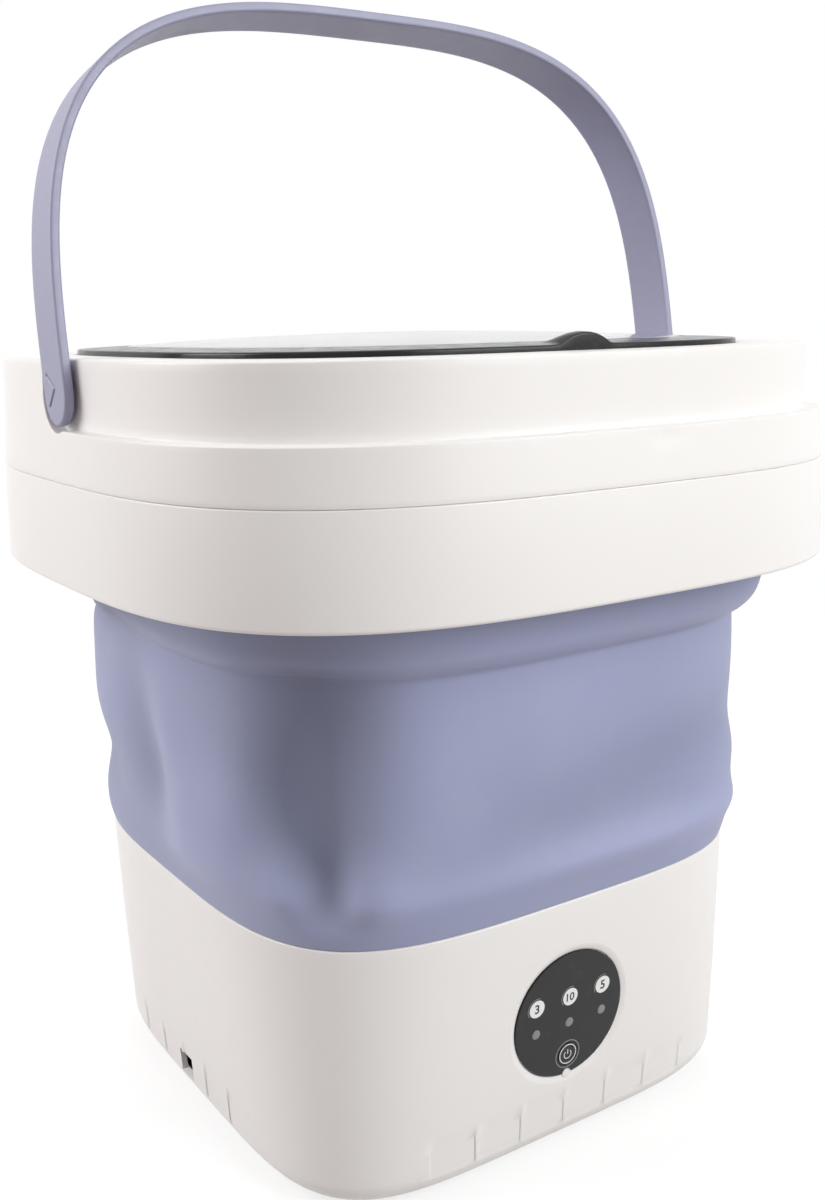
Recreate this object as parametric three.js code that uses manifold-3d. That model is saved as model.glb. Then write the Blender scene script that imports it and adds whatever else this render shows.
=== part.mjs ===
// Folding mini washing machine: a white base that holds the drive, a soft wall that folds down,
// a white upper ring with a carrying handle that swings to the front, and a clear lift-off lid.
// Millimetres, +Z up, front towards -Y, origin on the floor under the middle of the base.

import * as THREE from 'three';
import { mergeVertices } from 'three/addons/utils/BufferGeometryUtils.js';
import Module from 'manifold-3d';

const wasm = await Module();
wasm.setup();

// Heights, stacked up from the floor
const footDrop = 1.5;
const baseHeight = 98.1;
const wallShown = 111.3;
const skirtHeight = 35.2;
const shoulderHeight = 17;
const handleBand = 22.8;

// Half-widths of the rounded-square outlines
const baseTopHalf = 105.4;
const ringBottomHalf = 137.3;

// How far the base's foot stands in from its top, each outline of the upper ring from the one
// before it, and the soft wall's top from the ring's foot
const baseDraft = 6.1;
const skirtDraft = 1;
const frameDraft = 1.3;
const bandDraft = 0.8;
const recessDepth = 5;
const lidMargin = 21;
const mouthMargin = 5;
const softInset = 15.85;

// Squareness of the outlines: 2 is a circle, and higher is squarer
const round = 2;
const baseFootSquareness = 4.95;
const baseSquareness = 3.95;
const ringSquareness = 3.32;
const archSquareness = 3.23;

// Steps round the turned shells, discs, pulleys, small round pieces and screws, and
// how much closer together the shells' steps stand at the corners
const shellSteps = 32;
const cornerCrowding = 0.4;
const discSteps = 28;
const wheelSteps = 24;
const smallSteps = 12;
const screwSteps = 8;

// Clearances: between seated pieces, round turning shafts, and past a face that a cut goes through
const fit = 0.3;
const runningGap = 0.3;
const overrun = 2;

// Base casing
const shellWall = 2.6;
const baseFillet = 12;
const baseFilletSteps = 3;
const seatRibWidth = 3.8;
const seatRibDepth = 2.5;
const baseFlangeWidth = 8;
const baseFlangeThick = 1.7;
const coverRebate = 10.2;

// Finger grooves along the casing's lower edge
const gripPitch = 19.6;
const gripRib = 1.6;
const gripDepth = 0.6;
const gripBottom = 10.6;
const gripTop = 21.4;
const gripFrontCount = 6;
const gripSideCount = 5;

// Bottom cover, its feet, vents and screws
const coverThick = 2;
const footRadius = 8;
const footSeat = 0.8;
const footInset = 14.3;
const coverScrewInset = 3.3;
const ventLength = 34;
const ventWidth = 3;
const ventPitch = 10;
const ventCount = 4;
const ventCentre = 44;

// Screws
const screwShank = 1.5;
const screwHead = 2.9;
const screwHeadHeight = 1.4;
const screwBite = 5;

// Inner tub
const tubFlangeThick = 2.7;
const tubRimInset = 11;
const tubWall = 2.4;
const tubFloorHeight = 66;
const tubFloorThick = 2.8;
const tubFloorRise = 2;
const tubCornerWidth = 9;
const tubFloorInset = 8;
const tubDraft = 3;
const wellRadius = 54.6;
const wellDepth = 4;
const wellSlope = 3.4;

// Soft wall
const softThick = 2.4;
const beadWidth = 3.8;
const wallBulge = 4.2;
const shoulderRise = 30;
const creaseDrop = 21.5;
const softTopHeight = 44.2;
const foldDepth = 4.6;
const stillShare = 0.07;
const softBodySteps = 11;
const shoulderSteps = 3;

// Clamp rings that hold the soft wall's two beads, each with a lip beside its bead
const clampThick = 2.6;
const clampWidth = 9.6;
const lowerClampScrews = 6;
const upperClampScrews = 4;

// Upper ring: skirt and top frame
const ringWall = 2.6;
const ringEdge = 2;
const lapHeight = 6;
const lapWall = 2.2;
const topEdge = 1.6;
const edgeShare = 0.3;
const recessEdge = 0.8;
const topThick = 2.8;
const mouthWall = 2.8;
const flangeThick = 2.6;
const lidSeatDepth = 2.3;

// Carrying handle and its pivots
const strapWidth = 20.4;
const strapThick = 3.35;
const strapEdge = 0.7;
const strapSideGap = 1.5;
const strapNestGap = 0.7;
const strapLedgeGap = 1.2;
const pivotForward = 2;
const handleLean = THREE.MathUtils.degToRad(8.65);
const pocketGap = 2.2;
const pivotRadius = 3.2;
const pivotHeadRadius = 6;
const pivotHeadThick = 2;
const pivotBossRadius = 11;
const pivotBossLength = 7;
const pivotBlind = 1;
const archSteps = 30;
const chevronHeight = 5.4;
const chevronDepth = 7;
const chevronTip = 1.1;
const chevronLift = 2;
const chevronGroove = 1.2;
const chevronCut = 0.6;

// Lid, window and seal
const lidRise = 2;
const lidCrown = 0.6;
const lidEdge = 1;
const lidRimWidth = 16.6;
const lidLedge = 3.4;
const lidSkirtGap = 3.4;
const lidSkirtWall = 2.2;
const lidSkirtDrop = 9;
const sealHeight = 4;
const sealGroove = 0.8;
const windowThick = 2;
const windowCrown = 3.4;
const tabWidth = 24;
const tabHeight = 3.6;
const tabDepth = 8;

// Control panel on the front of the base
const panelHeight = 54.9;
const panelRadius = 24.4;
const panelBevel = 1.1;
const panelRecess = 1.2;
const panelThick = 0.8;
const panelKey = 1.9;
const lampPitch = 15;
const lampDrop = 3.3;
const lampRadius = 1.7;
const buttonDrop = 16.2;
const buttonRadius = 4.1;
const buttonFlange = 1.3;
const buttonFlangeThick = 0.8;
const buttonTravel = 0.6;
const boardWidth = 44;
const boardTall = 42;
const boardThick = 1.6;
const boardGap = 4;
const boardPost = 5;
const boardPostReach = 17;
const switchHalf = 3;

// Power socket in the left side
const jackForward = 8;
const jackWidth = 11;
const jackBottom = 10;
const jackTall = 9.6;
const jackDepth = 14;
const jackInset = 5;
const jackBore = 3.2;
const jackPin = 1;

// Drive: shaft, bearings, pulleys, belt, motor and bracket
const shaftRadius = 4;
const shaftAbove = 15;
const shaftBelow = 18;
const housingRadius = 12;
const housingTall = 28;
const housingFlange = 22;
const housingFlangeThick = 2.6;
const housingLip = 0.5;
const bearingRadius = 8;
const bearingThick = 5;
const sealSeat = 7.4;
const sealThick = 3.8;
const webThick = 3;
const bracketThick = 1.6;
const bracketWidth = 25;
const bracketHole = 6;
const pulleyRadius = 36;
const pulleyLip = 2.5;
const pulleyLipThick = 1.4;
const pulleyHub = 9;
const motorPulleyHub = 5.4;
const motorPulleyRadius = 9.5;
const beltWidth = 6;
const beltThick = 1.8;
const beltDrop = 14.6;
const beltCentres = 62;
const pulleyHole = 8;
const pulleyHoleReach = 21;
const pulleyHoles = 5;
const motorRadius = 21;
const motorTall = 22;
const motorChamfer = 2;
const motorBoss = 6;
const motorShaftRadius = 2.5;
const motorShaftSeat = 8;
const motorScrewReach = 12;
const housingScrewReach = 17.5;
const housingScrews = 3;

// Agitator
const agitatorRadius = 52;
const agitatorGap = 1.3;
const agitatorEdge = 3;
const agitatorRise = 6;
const agitatorHub = 14;
const agitatorHubTall = 9.5;
const bladeCount = 4;
const bladeThick = 6;
const bladeTall = 10;
const bladeFall = 6;
const bladeBend = 15;
const bladeSteps = 4;
const drainHoles = 6;
const drainHoleRadius = 2.2;
const drainHoleReach = 41;
const capRadius = 8;
const capTall = 2.6;

// Drain spout and stopper at the back
const drainInset = 9.4;
const spoutRadius = 6.5;
const spoutBore = 4.6;
const spoutDrop = 9.6;
const spoutOut = 11;
const stopperCap = 8;
const stopperCapThick = 3;
const stopperPlug = 10;
const stopperGrip = 5;

// Levels worked out from the sizes above
const baseTop = footDrop + baseHeight;
const ringBottom = baseTop + wallShown;
const ringSeam = ringBottom + skirtHeight;
const ledge = ringSeam + shoulderHeight;
const ringTop = ledge + handleBand;
const coverTop = footDrop + coverThick;
const baseFlangeBottom = coverTop + fit / 2;
const baseFlangeTop = baseFlangeBottom + baseFlangeThick;
const tubSeat = baseTop - tubFlangeThick;
const softFoot = baseTop + fit;
const lowerClampBottom = softFoot + softThick + fit;
const softTop = ringBottom + softTopHeight;
const mouthBottom = softTop + fit;
const upperClampTop = softTop - softThick - fit;
const pivotHeight = ledge + strapLedgeGap + strapWidth / 2;
const lidSeat = ringTop - lidSeatDepth;
const wellFloor = tubFloorHeight - wellDepth;
const housingBottom = wellFloor - housingTall;
const shaftTop = wellFloor + shaftAbove;
const shaftBottom = housingBottom - shaftBelow;
const beltHeight = housingBottom - beltDrop;
const spoutHeight = tubFloorHeight - spoutDrop;

// Half-widths worked out from the sizes above
const baseBottomHalf = baseTopHalf - baseDraft;
const draft = Math.atan(baseDraft / baseHeight);
const softHalf = baseTopHalf - fit / 2;
const softUpperHalf = ringBottomHalf - softInset;
const shoulderReach = softUpperHalf - softHalf - wallBulge;
const ringSeamHalf = ringBottomHalf - skirtDraft;
const ledgeHalf = ringSeamHalf - frameDraft;
const ringTopHalf = ledgeHalf - bandDraft;
const recessHalf = ledgeHalf - recessDepth;
const lidHalf = recessHalf - lidMargin;
const mouthHalf = lidHalf - mouthMargin;

// Finishes
const whitePlastic = { color: 0xf1f0ed, roughness: 0.35, metalness: 0 };
const softLavender = { color: 0x9a9cc0, roughness: 0.6, metalness: 0 };
const darkPlastic = { color: 0x3c3c3e, roughness: 0.3, metalness: 0 };
const clearPlastic = { color: 0xe6eaec, roughness: 0.08, metalness: 0 };
const blackRubber = { color: 0x2a2a2c, roughness: 0.8, metalness: 0 };
const greyRubber = { color: 0x9a9a9c, roughness: 0.7, metalness: 0 };
const steel = { color: 0xb9bbbd, roughness: 0.3, metalness: 0.9 };
const boardGreen = { color: 0x2f6b45, roughness: 0.5, metalness: 0.1 };
const lampGrey = { color: 0x8b8b8d, roughness: 0.2, metalness: 0 };

const washer = new THREE.Group();

// A mesh with its name and finish, placed in a group
function addPiece(name, geometry, finish, group = washer) {
  const mesh = new THREE.Mesh(geometry, new THREE.MeshStandardMaterial(finish));
  mesh.name = name;
  group.add(mesh);
  return mesh;
}

// A closed mesh as a solid that can be joined and cut
function toSolid(geometry) {
  const bare = geometry.clone();
  bare.deleteAttribute('normal');
  bare.deleteAttribute('uv');
  const merged = mergeVertices(bare);
  const corners = merged.index.array;
  const faces = [];
  for (let i = 0; i < corners.length; i += 3) {
    const [a, b, c] = [corners[i], corners[i + 1], corners[i + 2]];
    if (a !== b && b !== c && c !== a) faces.push(a, b, c);
  }
  const vertProperties = new Float32Array(merged.attributes.position.array);
  return new wasm.Manifold(new wasm.Mesh({ numProp: 3, vertProperties, triVerts: new Uint32Array(faces) }));
}

// A solid back as a mesh geometry
function toGeometry(solid) {
  const mesh = solid.getMesh();
  const geometry = new THREE.BufferGeometry();
  geometry.setAttribute('position', new THREE.BufferAttribute(mesh.vertProperties, mesh.numProp));
  geometry.setIndex(new THREE.BufferAttribute(mesh.triVerts, 1));
  return geometry;
}

// The body with every tool taken away
function cut(body, ...tools) {
  return toGeometry(tools.reduce((left, tool) => left.subtract(toSolid(tool)), toSolid(body)));
}

// All the shapes as one
function join(first, ...others) {
  return toGeometry(others.reduce((whole, other) => whole.add(toSolid(other)), toSolid(first)));
}

// What two shapes share
function overlap(first, second) {
  return toGeometry(toSolid(first).intersect(toSolid(second)));
}

// Distance from the axis to a rounded square of unit half-width, in a given direction
function squareReach(angle, squareness) {
  const across = Math.abs(Math.cos(angle)) ** squareness;
  const along = Math.abs(Math.sin(angle)) ** squareness;
  return (across + along) ** (-1 / squareness);
}

// An angle drawn towards the nearest corner of the rounded square
function crowdedAngle(angle) {
  return angle + (cornerCrowding / 4) * Math.sin(4 * angle);
}

// A turned shape from a closed profile of [half-width, height], each ring redrawn by placeAt
function turn(profile, steps, placeAt) {
  const points = profile.map(([half, height]) => new THREE.Vector2(half, height));
  const onAxis = profile[0][0] === 0;
  if (!onAxis) points.push(points[0].clone());
  const area = THREE.ShapeUtils.area(points);
  const geometry = new THREE.LatheGeometry(area > 0 ? points : points.reverse(), steps);
  geometry.rotateX(Math.PI / 2);
  const place = geometry.attributes.position;
  for (let i = 0; i < place.count; i += 1) {
    const [x, y, z] = [place.getX(i), place.getY(i), place.getZ(i)];
    const [radius, angle] = placeAt(Math.hypot(x, y), Math.atan2(y, x), z);
    place.setXY(i, radius * Math.cos(angle), radius * Math.sin(angle));
  }
  return geometry;
}

// A turned shell, its radius given at each crowded angle by radiusAt
function shellTurn(profile, radiusAt) {
  return turn(profile, shellSteps, (half, angle, height) => {
    const drawn = crowdedAngle(angle);
    return [radiusAt(half, drawn, height), drawn];
  });
}

// A turned shell drawn out to a rounded square
function squareTurn(profile, squareness) {
  return shellTurn(profile, (half, angle) => half * squareReach(angle, squareness));
}

// A plain turned shape
function roundTurn(profile, steps = wheelSteps) {
  return turn(profile, steps, (half, angle) => [half, angle]);
}

// A ring of rectangular section
function ringProfile(inner, outer, bottom, top) {
  return [[inner, bottom], [outer, bottom], [outer, top], [inner, top]];
}

// An upright round bar between two heights
function post(radius, bottom, top, x = 0, y = 0, steps = smallSteps) {
  const geometry = new THREE.CylinderGeometry(radius, radius, top - bottom, steps);
  geometry.rotateX(Math.PI / 2);
  geometry.translate(x, y, (bottom + top) / 2);
  return geometry;
}

// A round bar along X or Y between two places
function bar(axis, radius, from, to, steps = smallSteps) {
  const geometry = new THREE.CylinderGeometry(radius, radius, Math.abs(to - from), steps);
  if (axis === 'x') geometry.rotateZ(Math.PI / 2);
  const middle = (from + to) / 2;
  geometry.translate(axis === 'x' ? middle : 0, axis === 'y' ? middle : 0, 0);
  return geometry;
}

// A box between two opposite corners
function block([x0, y0, z0], [x1, y1, z1]) {
  const geometry = new THREE.BoxGeometry(x1 - x0, y1 - y0, z1 - z0);
  geometry.translate((x0 + x1) / 2, (y0 + y1) / 2, (z0 + z1) / 2);
  return geometry;
}

// A flat outline raised between two heights
function slab(outline, bottom, top, steps = 4) {
  const geometry = new THREE.ExtrudeGeometry(outline, {
    depth: top - bottom, bevelEnabled: false, curveSegments: steps,
  });
  geometry.translate(0, 0, bottom);
  return geometry;
}

// A screw with its head below and its shank pointing up; it starts under the head
function upScrew(x, y, headBottom, shankTop) {
  const headTop = headBottom + screwHeadHeight;
  const profile = [
    [0, headBottom], [screwHead, headBottom], [screwHead, headTop], [screwShank, headTop],
    [screwShank, shankTop], [0, shankTop],
  ];
  const geometry = roundTurn(profile, screwSteps);
  geometry.translate(x, y, 0);
  return geometry;
}

// The same screw with its head on top and its shank pointing down
function downScrew(x, y, headTop, shankBottom) {
  const headBottom = headTop - screwHeadHeight;
  const profile = [
    [0, shankBottom], [screwShank, shankBottom], [screwShank, headBottom], [screwHead, headBottom],
    [screwHead, headTop], [0, headTop],
  ];
  const geometry = roundTurn(profile, screwSteps);
  geometry.translate(x, y, 0);
  return geometry;
}

// Places of screws round a squared ring, as [x, y]
function ringPlaces(count, half, squareness) {
  return Array.from({ length: count }, (_, i) => {
    const angle = (2 * Math.PI * (i + 0.5)) / count;
    const reach = half * squareReach(angle, squareness);
    return [reach * Math.cos(angle), reach * Math.sin(angle)];
  });
}

// Squareness of the casing at a height: squarer at its foot
function casingSquareness(height) {
  return THREE.MathUtils.lerp(baseFootSquareness, baseSquareness, (height - footDrop) / baseHeight);
}

// A turned shell that takes the casing's squareness at every height
function casingTurn(profile) {
  return shellTurn(profile, (half, angle, height) => half * squareReach(angle, casingSquareness(height)));
}

// Half-width of the casing's outer face at a height, its rounded lower edge left out
function casingHalf(height) {
  return baseBottomHalf + Math.tan(draft) * (height - footDrop);
}

const filletCentreHeight = footDrop + baseFillet;
const filletCentreHalf = casingHalf(filletCentreHeight) - baseFillet / Math.cos(draft);

// Points on the casing's rounded lower edge, from the underside up to the wall
function filletPoints(radius) {
  return Array.from({ length: baseFilletSteps + 1 }, (_, i) => {
    const angle = ((Math.PI / 2 - draft) * i) / baseFilletSteps;
    return [filletCentreHalf + radius * Math.sin(angle), filletCentreHeight - radius * Math.cos(angle)];
  });
}

// Shallow recesses between upright ribs, all round the casing's lower edge
function gripCutters() {
  const inner = filletPoints(baseFillet - gripDepth).filter(([, height]) => height > gripBottom);
  const outer = filletPoints(baseFillet + overrun).filter(([, height]) => height > gripBottom);
  const innerStart = inner[0][0];
  const outerStart = outer[0][0];
  const profile = [
    [innerStart - gripDepth, gripBottom], [outerStart, gripBottom], ...outer,
    [casingHalf(gripTop) + overrun, gripTop], [casingHalf(gripTop) - gripDepth, gripTop],
    ...inner.reverse(),
  ];
  const band = casingTurn(profile);
  const reach = baseTopHalf + overrun;
  const windows = [];
  for (let side = 0; side < 4; side += 1) {
    const count = side % 2 === 0 ? gripFrontCount : gripSideCount;
    for (let i = 0; i < count; i += 1) {
      const middle = (i - (count - 1) / 2) * gripPitch;
      const half = (gripPitch - gripRib) / 2;
      const window = block([middle - half, -reach, footDrop], [middle + half, -baseTopHalf / 2, baseTop]);
      window.rotateZ((side * Math.PI) / 2);
      windows.push(window);
    }
  }
  return overlap(band, join(...windows));
}

// The panel's own frame: X to the right, Z up the drafted front face, Y inwards
const panel = new THREE.Group();
panel.position.set(0, -casingHalf(panelHeight), panelHeight);
panel.rotation.x = draft;
panel.updateMatrixWorld();
washer.add(panel);

// A shape made in the panel's frame, moved to where it lies on the washer
function onPanel(geometry) {
  return geometry.clone().applyMatrix4(panel.matrixWorld);
}

// A round bar along the panel's Y at a place on its face
function panelBar(radius, x, z, from, to, steps = smallSteps) {
  const geometry = bar('y', radius, from, to, steps);
  geometry.translate(x, 0, z);
  return geometry;
}

const lampPlaces = [-lampPitch, 0, lampPitch];
const boardFront = shellWall + boardGap;

// The recess, the holes and the key of the control panel
function panelCutters() {
  const slope = panelBevel / panelRecess;
  const mouth = panelRadius + panelBevel + overrun * slope;
  const cone = new THREE.CylinderGeometry(panelRadius, mouth, panelRecess + overrun, discSteps);
  cone.translate(0, (panelRecess - overrun) / 2, 0);
  const recess = cut(cone, panelBar(panelKey, 0, -panelRadius, -2 * overrun, 2 * overrun));
  const lamps = lampPlaces.map((x) => panelBar(lampRadius + fit, x, -lampDrop, -overrun, boardFront));
  const button = panelBar(buttonRadius + fit, 0, -buttonDrop, -overrun, boardFront);
  return [recess, ...lamps, button].map(onPanel);
}

// Posts on the casing's inner face that carry the control board
function boardPosts() {
  const posts = [];
  for (const x of [-boardPostReach, boardPostReach]) {
    for (const z of [-boardPostReach, boardPostReach]) {
      const half = boardPost / 2;
      const root = shellWall / 2;
      posts.push(onPanel(block([x - half, root, z - half], [x + half, boardFront - fit, z + half])));
    }
  }
  return posts;
}

// Outer casing: drafted walls, a rounded lower edge, a rib for the tub and a flange for the cover
function baseShell() {
  const inside = (height) => casingHalf(height) - shellWall;
  const flangeHalf = filletCentreHalf - coverRebate;
  const rebateHalf = filletCentreHalf - coverRebate + baseFlangeWidth;
  const innerFillet = baseFillet - shellWall;
  const flangeRun = Math.sqrt(Math.max(innerFillet ** 2 - (filletCentreHeight - baseFlangeTop) ** 2, 0));
  const profile = [
    [rebateHalf, footDrop], ...filletPoints(baseFillet), [baseTopHalf, baseTop],
    [baseTopHalf - shellWall, baseTop], [inside(tubSeat), tubSeat],
    [inside(tubSeat) - seatRibWidth, tubSeat], [inside(tubSeat) - seatRibWidth, tubSeat - seatRibDepth],
    [inside(tubSeat - seatRibDepth - seatRibWidth), tubSeat - seatRibDepth - seatRibWidth],
    ...filletPoints(baseFillet - shellWall).filter(([, height]) => height > baseFlangeTop + fit).reverse(),
    [filletCentreHalf + flangeRun, baseFlangeTop], [flangeHalf, baseFlangeTop],
    [flangeHalf, baseFlangeBottom], [rebateHalf, baseFlangeBottom],
  ];
  const jackWindow = block(
    [-baseTopHalf - overrun, jackForward - jackWidth / 2, jackBottom],
    [-baseTopHalf / 2 - jackWidth, jackForward + jackWidth / 2, jackBottom + jackTall],
  );
  const spoutHole = bar('y', spoutRadius + fit, baseTopHalf / 2, baseTopHalf + overrun);
  spoutHole.translate(0, 0, spoutHeight);
  const screwHoles = coverScrewPlaces().map(([x, y]) => (
    post(screwShank + fit / 2, footDrop, baseFlangeTop + overrun, x, y, screwSteps)));
  const shell = join(casingTurn(profile), ...boardPosts());
  return cut(shell, gripCutters(), jackWindow, spoutHole, ...screwHoles, ...panelCutters());
}

const coverHalf = filletCentreHalf - coverRebate + baseFlangeWidth - fit;
const cornerAngle = Math.PI / 4;
const coverCorner = coverHalf * squareReach(cornerAngle, casingSquareness(coverTop)) * Math.cos(cornerAngle);
const footReach = coverCorner - footInset;
const coverScrewReach = coverCorner - coverScrewInset;

// The four corner places of something, as [x, y]
function cornerPlaces(reach) {
  return [[-reach, -reach], [reach, -reach], [reach, reach], [-reach, reach]];
}

function coverScrewPlaces() {
  return cornerPlaces(coverScrewReach);
}

// A flat rounded-square outline
function squareOutline(half, squareness) {
  const points = Array.from({ length: shellSteps }, (_, i) => {
    const angle = crowdedAngle((2 * Math.PI * i) / shellSteps);
    const reach = half * squareReach(angle, squareness);
    return new THREE.Vector2(reach * Math.cos(angle), reach * Math.sin(angle));
  });
  return new THREE.Shape(points);
}

// A slot with round ends, lying along Y
function slotPath(x, y, width, length) {
  const path = new THREE.Path();
  const straight = (length - width) / 2;
  path.absarc(x, y + straight, width / 2, 0, Math.PI, false);
  path.absarc(x, y - straight, width / 2, Math.PI, 2 * Math.PI, false);
  path.closePath();
  return path;
}

// Flat cover under the base, with vents, seats for the feet and sunk screw heads
function bottomCover() {
  const outline = squareOutline(coverHalf, casingSquareness(coverTop));
  for (const y of [-ventCentre, ventCentre]) {
    for (let i = 0; i < ventCount; i += 1) {
      const x = (i - (ventCount - 1) / 2) * ventPitch;
      outline.holes.push(slotPath(x, y, ventWidth, ventLength));
    }
  }
  const plate = slab(outline, footDrop, coverTop, 2);
  const seats = cornerPlaces(footReach).map(([x, y]) => (
    post(footRadius + fit, 0, footDrop + footSeat, x, y)));
  const headSeats = coverScrewPlaces().map(([x, y]) => (
    post(screwHead + fit, 0, footDrop + screwHeadHeight, x, y, screwSteps)));
  const holes = coverScrewPlaces().map(([x, y]) => (
    post(screwShank + fit, 0, coverTop + overrun, x, y, screwSteps)));
  return cut(plate, ...seats, ...headSeats, ...holes);
}

// Round rubber foot, narrower where it meets the floor
function foot([x, y]) {
  const tall = footDrop + footSeat - fit;
  const geometry = new THREE.CylinderGeometry(footRadius, footRadius - footSeat, tall, smallSteps);
  geometry.rotateX(Math.PI / 2);
  geometry.translate(x, y, tall / 2);
  return geometry;
}

const tubRimHalf = baseTopHalf - tubRimInset;
const tubFloorHalf = tubRimHalf - tubDraft - tubFloorInset;
const drainReach = tubFloorHalf - drainInset;

// Squareness of the tub's rings: round at the well and squared at the wall
function tubSquareness(half) {
  const outer = wellRadius + wellSlope;
  const share = THREE.MathUtils.clamp((half - outer) / (tubFloorHalf - outer), 0, 1);
  return THREE.MathUtils.lerp(round, baseSquareness, share);
}

const webTop = wellFloor + housingLip - sealThick;
const upperBearingTop = webTop - webThick - fit;

// Tube under the tub that holds both bearings and the shaft's seal, with a flange for the bracket
function bearingTube() {
  const bore = bearingRadius + fit / 2;
  const top = wellFloor + housingLip;
  const flangeTop = housingBottom + housingFlangeThick;
  const profile = [
    [bore, housingBottom], [housingFlange, housingBottom], [housingFlange, flangeTop],
    [housingRadius, flangeTop], [housingRadius, top], [sealSeat + fit / 2, top],
    [sealSeat + fit / 2, webTop - fit], [shaftRadius + runningGap, webTop - fit],
    [shaftRadius + runningGap, upperBearingTop + fit], [bore, upperBearingTop + fit],
  ];
  return roundTurn(profile);
}

// Inner tub: a squared bowl with a rim flange, a round well for the agitator and a bearing tube
function tubFloor() {
  const floorEdge = tubFloorHeight + tubFloorRise;
  const under = wellFloor - tubFloorThick;
  const flangeHalf = casingHalf(tubSeat) - shellWall - fit;
  const hubHole = (sealSeat + housingRadius) / 2;
  const wellTop = wellRadius + wellSlope;
  const profile = [
    [hubHole, under], [wellTop, under], [wellTop + tubWall, tubFloorHeight - tubFloorThick],
    [tubFloorHalf + tubWall / 2, floorEdge - tubFloorThick],
    [tubFloorHalf + tubFloorInset + tubWall / 2, floorEdge + tubCornerWidth - tubWall],
    [tubRimHalf + tubWall, tubSeat], [flangeHalf, tubSeat], [flangeHalf, baseTop], [tubRimHalf, baseTop],
    [tubFloorHalf + tubFloorInset, floorEdge + tubCornerWidth],
    [tubFloorHalf, floorEdge], [wellTop, tubFloorHeight], [wellRadius, wellFloor], [hubHole, wellFloor],
  ];
  const bowl = shellTurn(profile, (half, angle) => half * squareReach(angle, tubSquareness(half)));
  const drain = post(spoutRadius + fit, spoutHeight, tubFloorHeight + tubCornerWidth, 0, drainReach);
  const bites = lowerScrewPlaces().map(([x, y]) => (
    post(screwShank + fit / 2, tubSeat - overrun, baseTop + overrun, x, y, screwSteps)));
  const flangeTop = housingBottom + housingFlangeThick;
  const bracketBites = housingScrewPlaces().map(([x, y]) => (
    post(screwShank + fit / 2, housingBottom - overrun, flangeTop + overrun, x, y, screwSteps)));
  return cut(join(bowl, bearingTube()), drain, ...bites, ...bracketBites);
}

const lowerClampOuter = softHalf - softThick - fit;
const lowerClampInner = lowerClampOuter - clampWidth;
const lipWidth = clampWidth - beadWidth;

// Screws stand in the middle of the clamp's lip, inside the bead
function lowerScrewPlaces() {
  return ringPlaces(lowerClampScrews, lowerClampInner + lipWidth / 2, baseSquareness);
}

// A clamp ring from its face on the bead, its back and the end of its lip, with a hole for each screw
function clampRing(inner, outer, face, back, lipEnd, places, squareness) {
  const profile = [
    [outer, back], [outer, face], [inner + lipWidth, face], [inner + lipWidth, lipEnd],
    [inner, lipEnd], [inner, back],
  ];
  const [low, high] = [Math.min(back, lipEnd) - overrun, Math.max(back, lipEnd) + overrun];
  const holes = places.map(([x, y]) => post(screwShank + fit, low, high, x, y, screwSteps));
  return cut(squareTurn(profile, squareness), ...holes);
}

// Heights and bulges of the soft wall below its crease, as shares of that height and of the bulge
const bulgeShares = [
  [0, 0], [0.05, 0.28], [0.13, 0.45], [0.24, 0.58], [0.33, 0.78], [0.43, 0.86], [0.56, 0.84],
  [0.7, 0.88], [0.83, 0.96], [0.94, 1], [1, 1],
];

// Folds in the soft wall: angle round the wall in degrees, height as a share of the height below
// the crease, how far each spreads both ways, and its depth as a share of the deepest, outwards if below 0
const foldShares = [
  [-133.5, 0.78, 7, 0.24, 1],
  [-133, 0.3, 3.2, 0.16, 0.8],
  [-144, 0.3, 7, 0.14, -0.3],
  [-122, 0.3, 9, 0.12, -0.3],
  [-177, 0.55, 6, 0.24, 0.6],
  [160, 0.28, 12, 0.12, 0.65],
  [-163, 0.62, 7, 0.3, -0.25],
  [-60, 0.52, 16, 0.12, 0.2],
  [-90, 0.16, 34, 0.07, -0.22],
  [-35, 0.38, 25, 0.08, -0.25],
];

// How far a fold draws the wall in at an angle and a height share
function foldAt(angle, share) {
  const degrees = THREE.MathUtils.radToDeg(angle);
  return foldShares.reduce((sum, [middle, level, spread, rise, depthShare]) => {
    const away = THREE.MathUtils.euclideanModulo(degrees - middle + 180, 360) - 180;
    const fall = (away / spread) ** 2 + ((share - level) / rise) ** 2;
    return sum + foldDepth * depthShare * Math.exp(-fall / 2);
  }, 0);
}

const crease = ringBottom - creaseDrop;

// Outer face of the soft wall from its foot to its top, as [half-width, height]
function softOutline() {
  const curve = new THREE.SplineCurve(bulgeShares.map(([heightShare, bulgeShare]) => new THREE.Vector2(
    softHalf + wallBulge * bulgeShare,
    softFoot + (crease - softFoot) * heightShare,
  )));
  const body = curve.getPoints(softBodySteps).map((point) => [point.x, point.y]);
  const shoulder = Array.from({ length: shoulderSteps }, (_, i) => {
    const angle = (Math.PI * (i + 1)) / (2 * shoulderSteps);
    return [
      softHalf + wallBulge + shoulderReach * Math.sin(angle),
      crease + shoulderRise * (1 - Math.cos(angle)),
    ];
  });
  return [...body, ...shoulder, [softUpperHalf, softTop]];
}

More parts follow.
